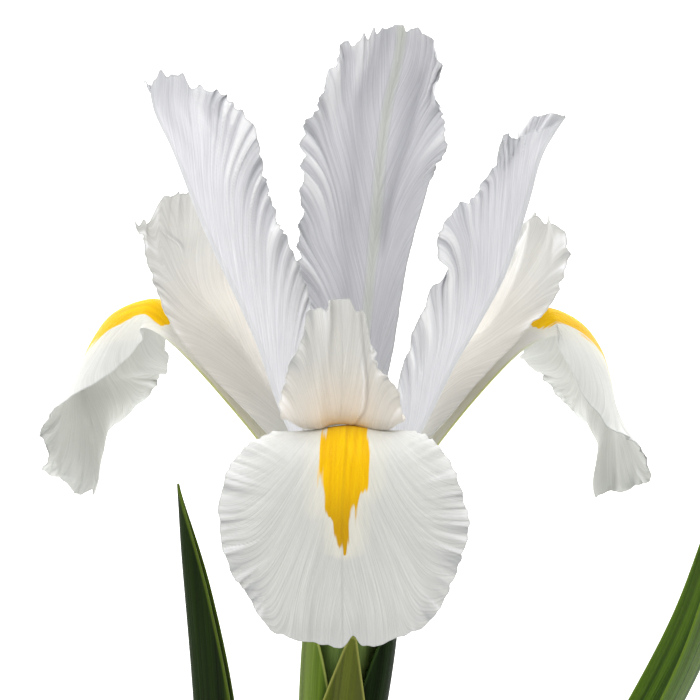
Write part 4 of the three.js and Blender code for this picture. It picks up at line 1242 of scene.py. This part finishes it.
# %% [markdown]
# ## Round parts
# The stem, the ovary, the column and the stamens are round. A ring of points is carried down a curve,
# and its radius changes on the way. Low ribs that run lengthwise make the ring less than perfectly
# round. Both ends are closed with a fan of triangles round a point on the curve.

# %% Rods
FAR_FROM_MARGINS = 5.0


def rod_faces(rings, sides):
    """Quads of the wall, and the triangles of both ends. The two end points are numbered last."""
    number = np.arange(rings * sides).reshape(rings, sides)
    beside = np.roll(number, -1, axis=1)
    walls = np.stack((number[:-1], beside[:-1], beside[1:], number[1:]), -1).reshape(-1, 4)
    first_end = [(rings * sides, b, a) for a, b in zip(number[0], beside[0])]
    last_end = [(rings * sides + 1, a, b) for a, b in zip(number[-1], beside[-1])]
    return walls.tolist() + first_end + last_end


def rod(name, curve, across, radius, material, node, ribs=0, rib_height=0.0, sides=48, rings=120,
        more=None):
    """A closed round piece along a curve."""
    length, place_at, slope_at = curve
    share = np.linspace(0, 1, rings)
    angle = np.linspace(0, 2 * math.pi, sides, endpoint=False)
    tangent = slope_at(share)
    right = across - tangent * (tangent @ across)[:, None]
    right /= np.linalg.norm(right, axis=1)[:, None]
    up = np.cross(tangent, right)
    wide = profile(radius)(share)[:, None] + rib_height * np.cos(ribs * angle)[None, :]
    ring = np.cos(angle)[None, :, None] * right[:, None] + np.sin(angle)[None, :, None] * up[:, None]
    points = (place_at(share)[:, None] + wide[..., None] * ring).reshape(-1, 3)
    ends = np.stack((place_at(np.array(0.0)), place_at(np.array(1.0))))

    gone = np.broadcast_to(share[:, None] * length, (rings, sides)).ravel()
    round_at = np.broadcast_to(angle[None, :] * wide.mean(), (rings, sides)).ravel()
    round_at = np.append(round_at, (0, 0))
    facts = {"along": np.append(gone, (0, length)), "across": round_at, "vein": round_at}
    facts["margin"] = np.full(gone.size + 2, FAR_FROM_MARGINS)
    facts["outer"] = np.append(np.ones(gone.size), (0, 0))
    for fact_name, make in (more or {}).items():
        facts[fact_name] = make(facts)
    return add_piece(name, np.vstack((points, ends)), rod_faces(rings, sides), facts, material, node)


print("a rod of 2 rings with 3 sides has", len(rod_faces(2, 3)), "faces")

# %% [markdown]
# ## The stalk's line
# Ovary, pedicel and stem share one line, which bends to the left further down.
# Here its height counts down from the foot of the bloom, and the value is how far aside it lies.

# %% The stalk's line
STALK = profile([(-215, -12), (-175, -11), (-120, -8.6), (-60, -4.2), (-40, -2.6), (-26, -1.2), (-14, -0.3),
                 (0, 0)])


def stalk_between(top, bottom):
    """The stalk's line between two heights, from the upper one down."""
    z = np.linspace(top, bottom, 13)
    return through(np.stack((STALK(z), 0 * z, z), -1))


print("from the bloom's foot to the cut the stalk is", round(stalk_between(0, -215)[0], 1), "mm long")

# %% [markdown]
# ## Greens
# Stem, bracts and leaves are waxy greens with veins that run straight along them.
# Narrow bands of light and dark follow the veins, long pale streaks lie over them, a pale line runs
# along the margins, and a thin wax makes the gloss broad and soft.

# %% The greens' finish
def green_finish(name, light, dark, edge, rough=(0.45, 0.62), gloss=0.08):
    """Green tissue with lengthwise veins, pale margins and a waxy gloss."""
    made, tree, shader = finish(name)
    along, across, margin = (fact(tree, key) for key in ("along", "across", "margin"))
    fine = streaks(tree, across, along, width=0.3, stretch=30, seed=4, detail=2)
    bands = streaks(tree, across, along, width=1.5, stretch=70, seed=9, detail=1)
    pale = streaks(tree, across, along, width=4, stretch=100, seed=17, detail=2)
    body = mix(tree, sum_of(tree, "MULTIPLY_ADD", bands, 0.6, product(tree, fine, 0.3)), dark, light)
    body = mix(tree, fade(tree, pale, 0.4, 0.9, 0.0, 0.16), body, edge)
    body = mix(tree, fade(tree, margin, 0.0, 0.5, 0.85, 0.0), body, edge)
    tree.links.new(body, shader.inputs["Base Color"])
    satin(tree, shader, fine, grain(tree, LEAF_CELLS), rough=rough, depth=0.00008)
    shader.inputs["Subsurface Weight"].default_value = 0.08
    shader.inputs["Subsurface Radius"].default_value = (0.6, 1.0, 0.2)
    shader.inputs["Subsurface Scale"].default_value = 0.0008
    shader.inputs["Specular IOR Level"].default_value = gloss
    return made


print("the pale line along a margin fades out 0.5 mm in")

# %% [markdown]
# ## Seven materials of one kind
# Each green is given by three colours: its light, its dark, and its edge. The right bract and the left
# leaf lie in the shade of the bloom, so that shade is painted into their darker greens. Pollen gets the
# same finish in cream, but rougher.

# %% The greens
bract_green = green_finish("bract_green", colour(92, 115, 30), colour(50, 71, 6), colour(146, 156, 80))
keel_green = green_finish("keel_green", colour(78, 88, 12), colour(34, 44, 2), colour(150, 152, 78))
# painted shade: the right bract's greens are darker for the bloom's shade on it
shade_green = green_finish("shade_green", colour(20, 36, 8), colour(6, 16, 2), colour(44, 64, 28),
                           gloss=0.03)
# painted shade: the left leaf's greens are darker for the shade it lies in
painted_shade_leaf = green_finish("painted_shade_leaf", colour(26, 44, 2), colour(6, 16, 0), colour(82, 100, 26))
leaf_green = green_finish("leaf_green", colour(72, 102, 14), colour(32, 56, 2), colour(98, 122, 40))
stem_green = green_finish("stem_green", colour(120, 142, 76), colour(88, 112, 52), colour(142, 160, 96))
pollen = green_finish("pollen", colour(236, 222, 160), colour(214, 196, 120), colour(240, 232, 190),
                      rough=(0.7, 0.9))
print("materials so far:", [m.name for m in bpy.data.materials])

# %% [markdown]
# ## Column and stamens
# The column carries the style's arms. A stamen lies under each arm: a thin filament, then a thicker
# anther. Both are hidden in the photograph and seen when the part is turned.

# %% Column and stamens
SIDEWAYS = np.array((1.0, 0, 0))
column_line = through(np.array([(0, 0, z) for z in (0.2, 3, 5, 7, 9)], float))
rod("style_column", column_line, SIDEWAYS, [(0, 1.15), (0.55, 1.2), (1, 2.2)], style_cream,
    "style", ribs=3, rib_height=0.1, sides=36, rings=30,
    more={"warm": lambda facts: 0.1 * facts["outer"]})
print("the column is", round(column_line[0], 1), "mm high")

STAMEN = [(2.4, 0.55), (4, 4.6), (7.3, 10.1), (13.2, 16.8), (20, 23.5), (23.8, 27.2)]
STAMEN_RADIUS = [(0, 0.5), (0.56, 0.5), (0.62, 0.85), (0.92, 0.95), (1, 0.4)]
for place, azimuth in (("front", 0), ("left", -120), ("right", 120)):
    rod("stamen_of_" + place, midrib(STAMEN, azimuth), directions(azimuth)[1], STAMEN_RADIUS, pollen,
        "stamen_" + place, ribs=2, rib_height=0.12, sides=20, rings=60)
print("a stamen is", round(midrib(STAMEN, 0)[0], 1), "mm long")

# %% [markdown]
# ## Ovary and stem
# The flower tube, the ovary and the pedicel under it are grown as one, hidden by the bracts.
# The stem swells a little where leaves and bracts clasp it.

# %% Ovary and stem
OVARY_RADIUS = [(0, 4.6), (0.03, 4.9), (0.09, 4.8), (0.18, 3.7), (0.34, 4.3), (0.58, 4.3), (0.78, 2.6),
                (1, 2.6)]
rod("ovary_and_tube", stalk_between(1.2, -39.7), SIDEWAYS, OVARY_RADIUS, stem_green, "ovary",
    ribs=6, rib_height=0.12)
print("ovary and tube are up to", 2 * max(radius for _, radius in OVARY_RADIUS), "mm thick")

STEM_RADIUS = [(0, 3.4), (0.07, 3.5), (0.105, 3.9), (0.14, 3.5), (0.6, 3.6), (0.628, 4.05), (0.66, 3.6),
               (0.76, 3.65), (0.788, 4.1), (0.82, 3.65), (1, 3.7)]
rod("flower_stem", stalk_between(-40, -215), SIDEWAYS, STEM_RADIUS, stem_green, "stem",
    ribs=14, rib_height=0.07, sides=84, rings=220)
print("the stem is up to", 2 * max(radius for _, radius in STEM_RADIUS), "mm thick at its nodes")

# %% [markdown]
# ## Bracts
# Three bracts make the spathe, which wraps the ovary. They are green with thin pale margins.
# A strong curl closes their lower part round the stem, and it opens towards the tip.

# %% The spathe's bracts
LEFT_BRACT = dict(
    spine=[(8.3, -58), (8.1, -45), (7.8, -30), (7.4, -20), (6.9, -12), (6.8, -4)],
    half_width=[(0, 6.2), (0.25, 7.3), (0.55, 8.6), (0.75, 7), (0.9, 3.6), (1, 0.8)],
    curl=[(0, 83), (0.25, 83), (0.55, 80), (0.75, 62), (0.9, 30), (1, 6)],
    vein_sweep=(0, 0), seed=171)
RIGHT_BRACT = dict(
    LEFT_BRACT,
    spine=[(0.2, -58), (2.1, -45), (4.9, -30), (6.4, -20), (7.2, -12), (7.6, -3)],
    seed=181)
FRONT_BRACT = dict(
    spine=[(5.6, -64, -4.4), (6.5, -48, -3.2), (7.3, -32, -1.8), (7.6, -20, -0.6), (7.5, -11.5, 0.4)],
    half_width=[(0, 8.6), (0.3, 8.4), (0.6, 5.6), (0.82, 2.9), (1, 0.6)],
    curl=[(0, 88), (0.3, 76), (0.6, 46), (0.82, 22), (1, 5)],
    vein_sweep=(0, 0), seed=191)
BRACTS = (("left_bract", LEFT_BRACT, -90, "bract_left", bract_green),
          ("right_bract", RIGHT_BRACT, 90, "bract_right", shade_green),
          ("front_bract", FRONT_BRACT, 0, "bract_front", keel_green))
for name, shape, azimuth, node, green in BRACTS:
    sheet(name, shape, azimuth, green, node, rows=110, columns=49, thick=0.5, thin=0.25,
          fine_from=0.02)
    print(name, "is", round(midrib(shape["spine"], azimuth)[0], 1), "mm long")

# %% [markdown]
# ## Leaves
# Each leaf starts as a sheath round the stem, then opens to a channel with a keel outside.
# So its curl is strong at the foot and its fold comes later.

# %% The leaves
LEFT_LEAF = dict(
    spine=[(15.7, -178), (16.1, -160), (16.8, -145, -0.3), (18.4, -120, -2.4), (20.8, -90, -7.4),
           (23.2, -55, -13.4), (24.6, -31, -17.2), (26, -11, -19), (26.8, 1.8, -20)],
    half_width=[(0, 8.8), (0.12, 8.6), (0.3, 8.2), (0.55, 8.6), (0.75, 8), (0.9, 4.6), (1, 0.4)],
    fold=[(0, 0), (0.2, 0), (0.4, 26), (0.65, 46), (1, 50)],
    curl=[(0, 110), (0.1, 85), (0.2, 70), (0.35, 44), (0.6, 18), (1, 10)],
    keel=1.6, vein_sweep=(0, 0), seed=201)
RIGHT_LEAF = dict(
    spine=[(-5.45, -150), (-4.4, -135), (2, -117, 2), (18, -90, 7), (38, -60, 13), (54, -31, 18),
           (61.5, -10, 21), (70, 20, 24.5), (75.5, 44, 27)],
    half_width=[(0, 8.6), (0.1, 8.7), (0.3, 9.4), (0.6, 10.4), (0.8, 8.4), (0.93, 4), (1, 0.4)],
    fold=[(0, 0), (0.1, 0), (0.3, 24), (0.6, 22), (1, 36)],
    curl=[(0, 110), (0.08, 100), (0.18, 70), (0.35, 34), (0.6, 20), (1, 12)],
    keel=1.6, vein_sweep=(0, 0), seed=211)
LEAVES = (("left_leaf", LEFT_LEAF, -90, "leaf_left", painted_shade_leaf),
          ("right_leaf", RIGHT_LEAF, 90, "leaf_right", leaf_green))
for name, shape, azimuth, node, green in LEAVES:
    sheet(name, shape, azimuth, green, node, rows=200, columns=49, thick=0.6, thin=0.3,
          fine_from=0.02)
    print(name, "is", round(midrib(shape["spine"], azimuth)[0], 1), "mm long")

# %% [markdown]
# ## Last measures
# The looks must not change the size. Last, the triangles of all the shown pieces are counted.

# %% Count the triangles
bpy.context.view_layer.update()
meshes = [piece.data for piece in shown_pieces() if piece.type == "MESH"]
print("triangles:", sum(len(face.vertices) - 2 for mesh in meshes for face in mesh.polygons))
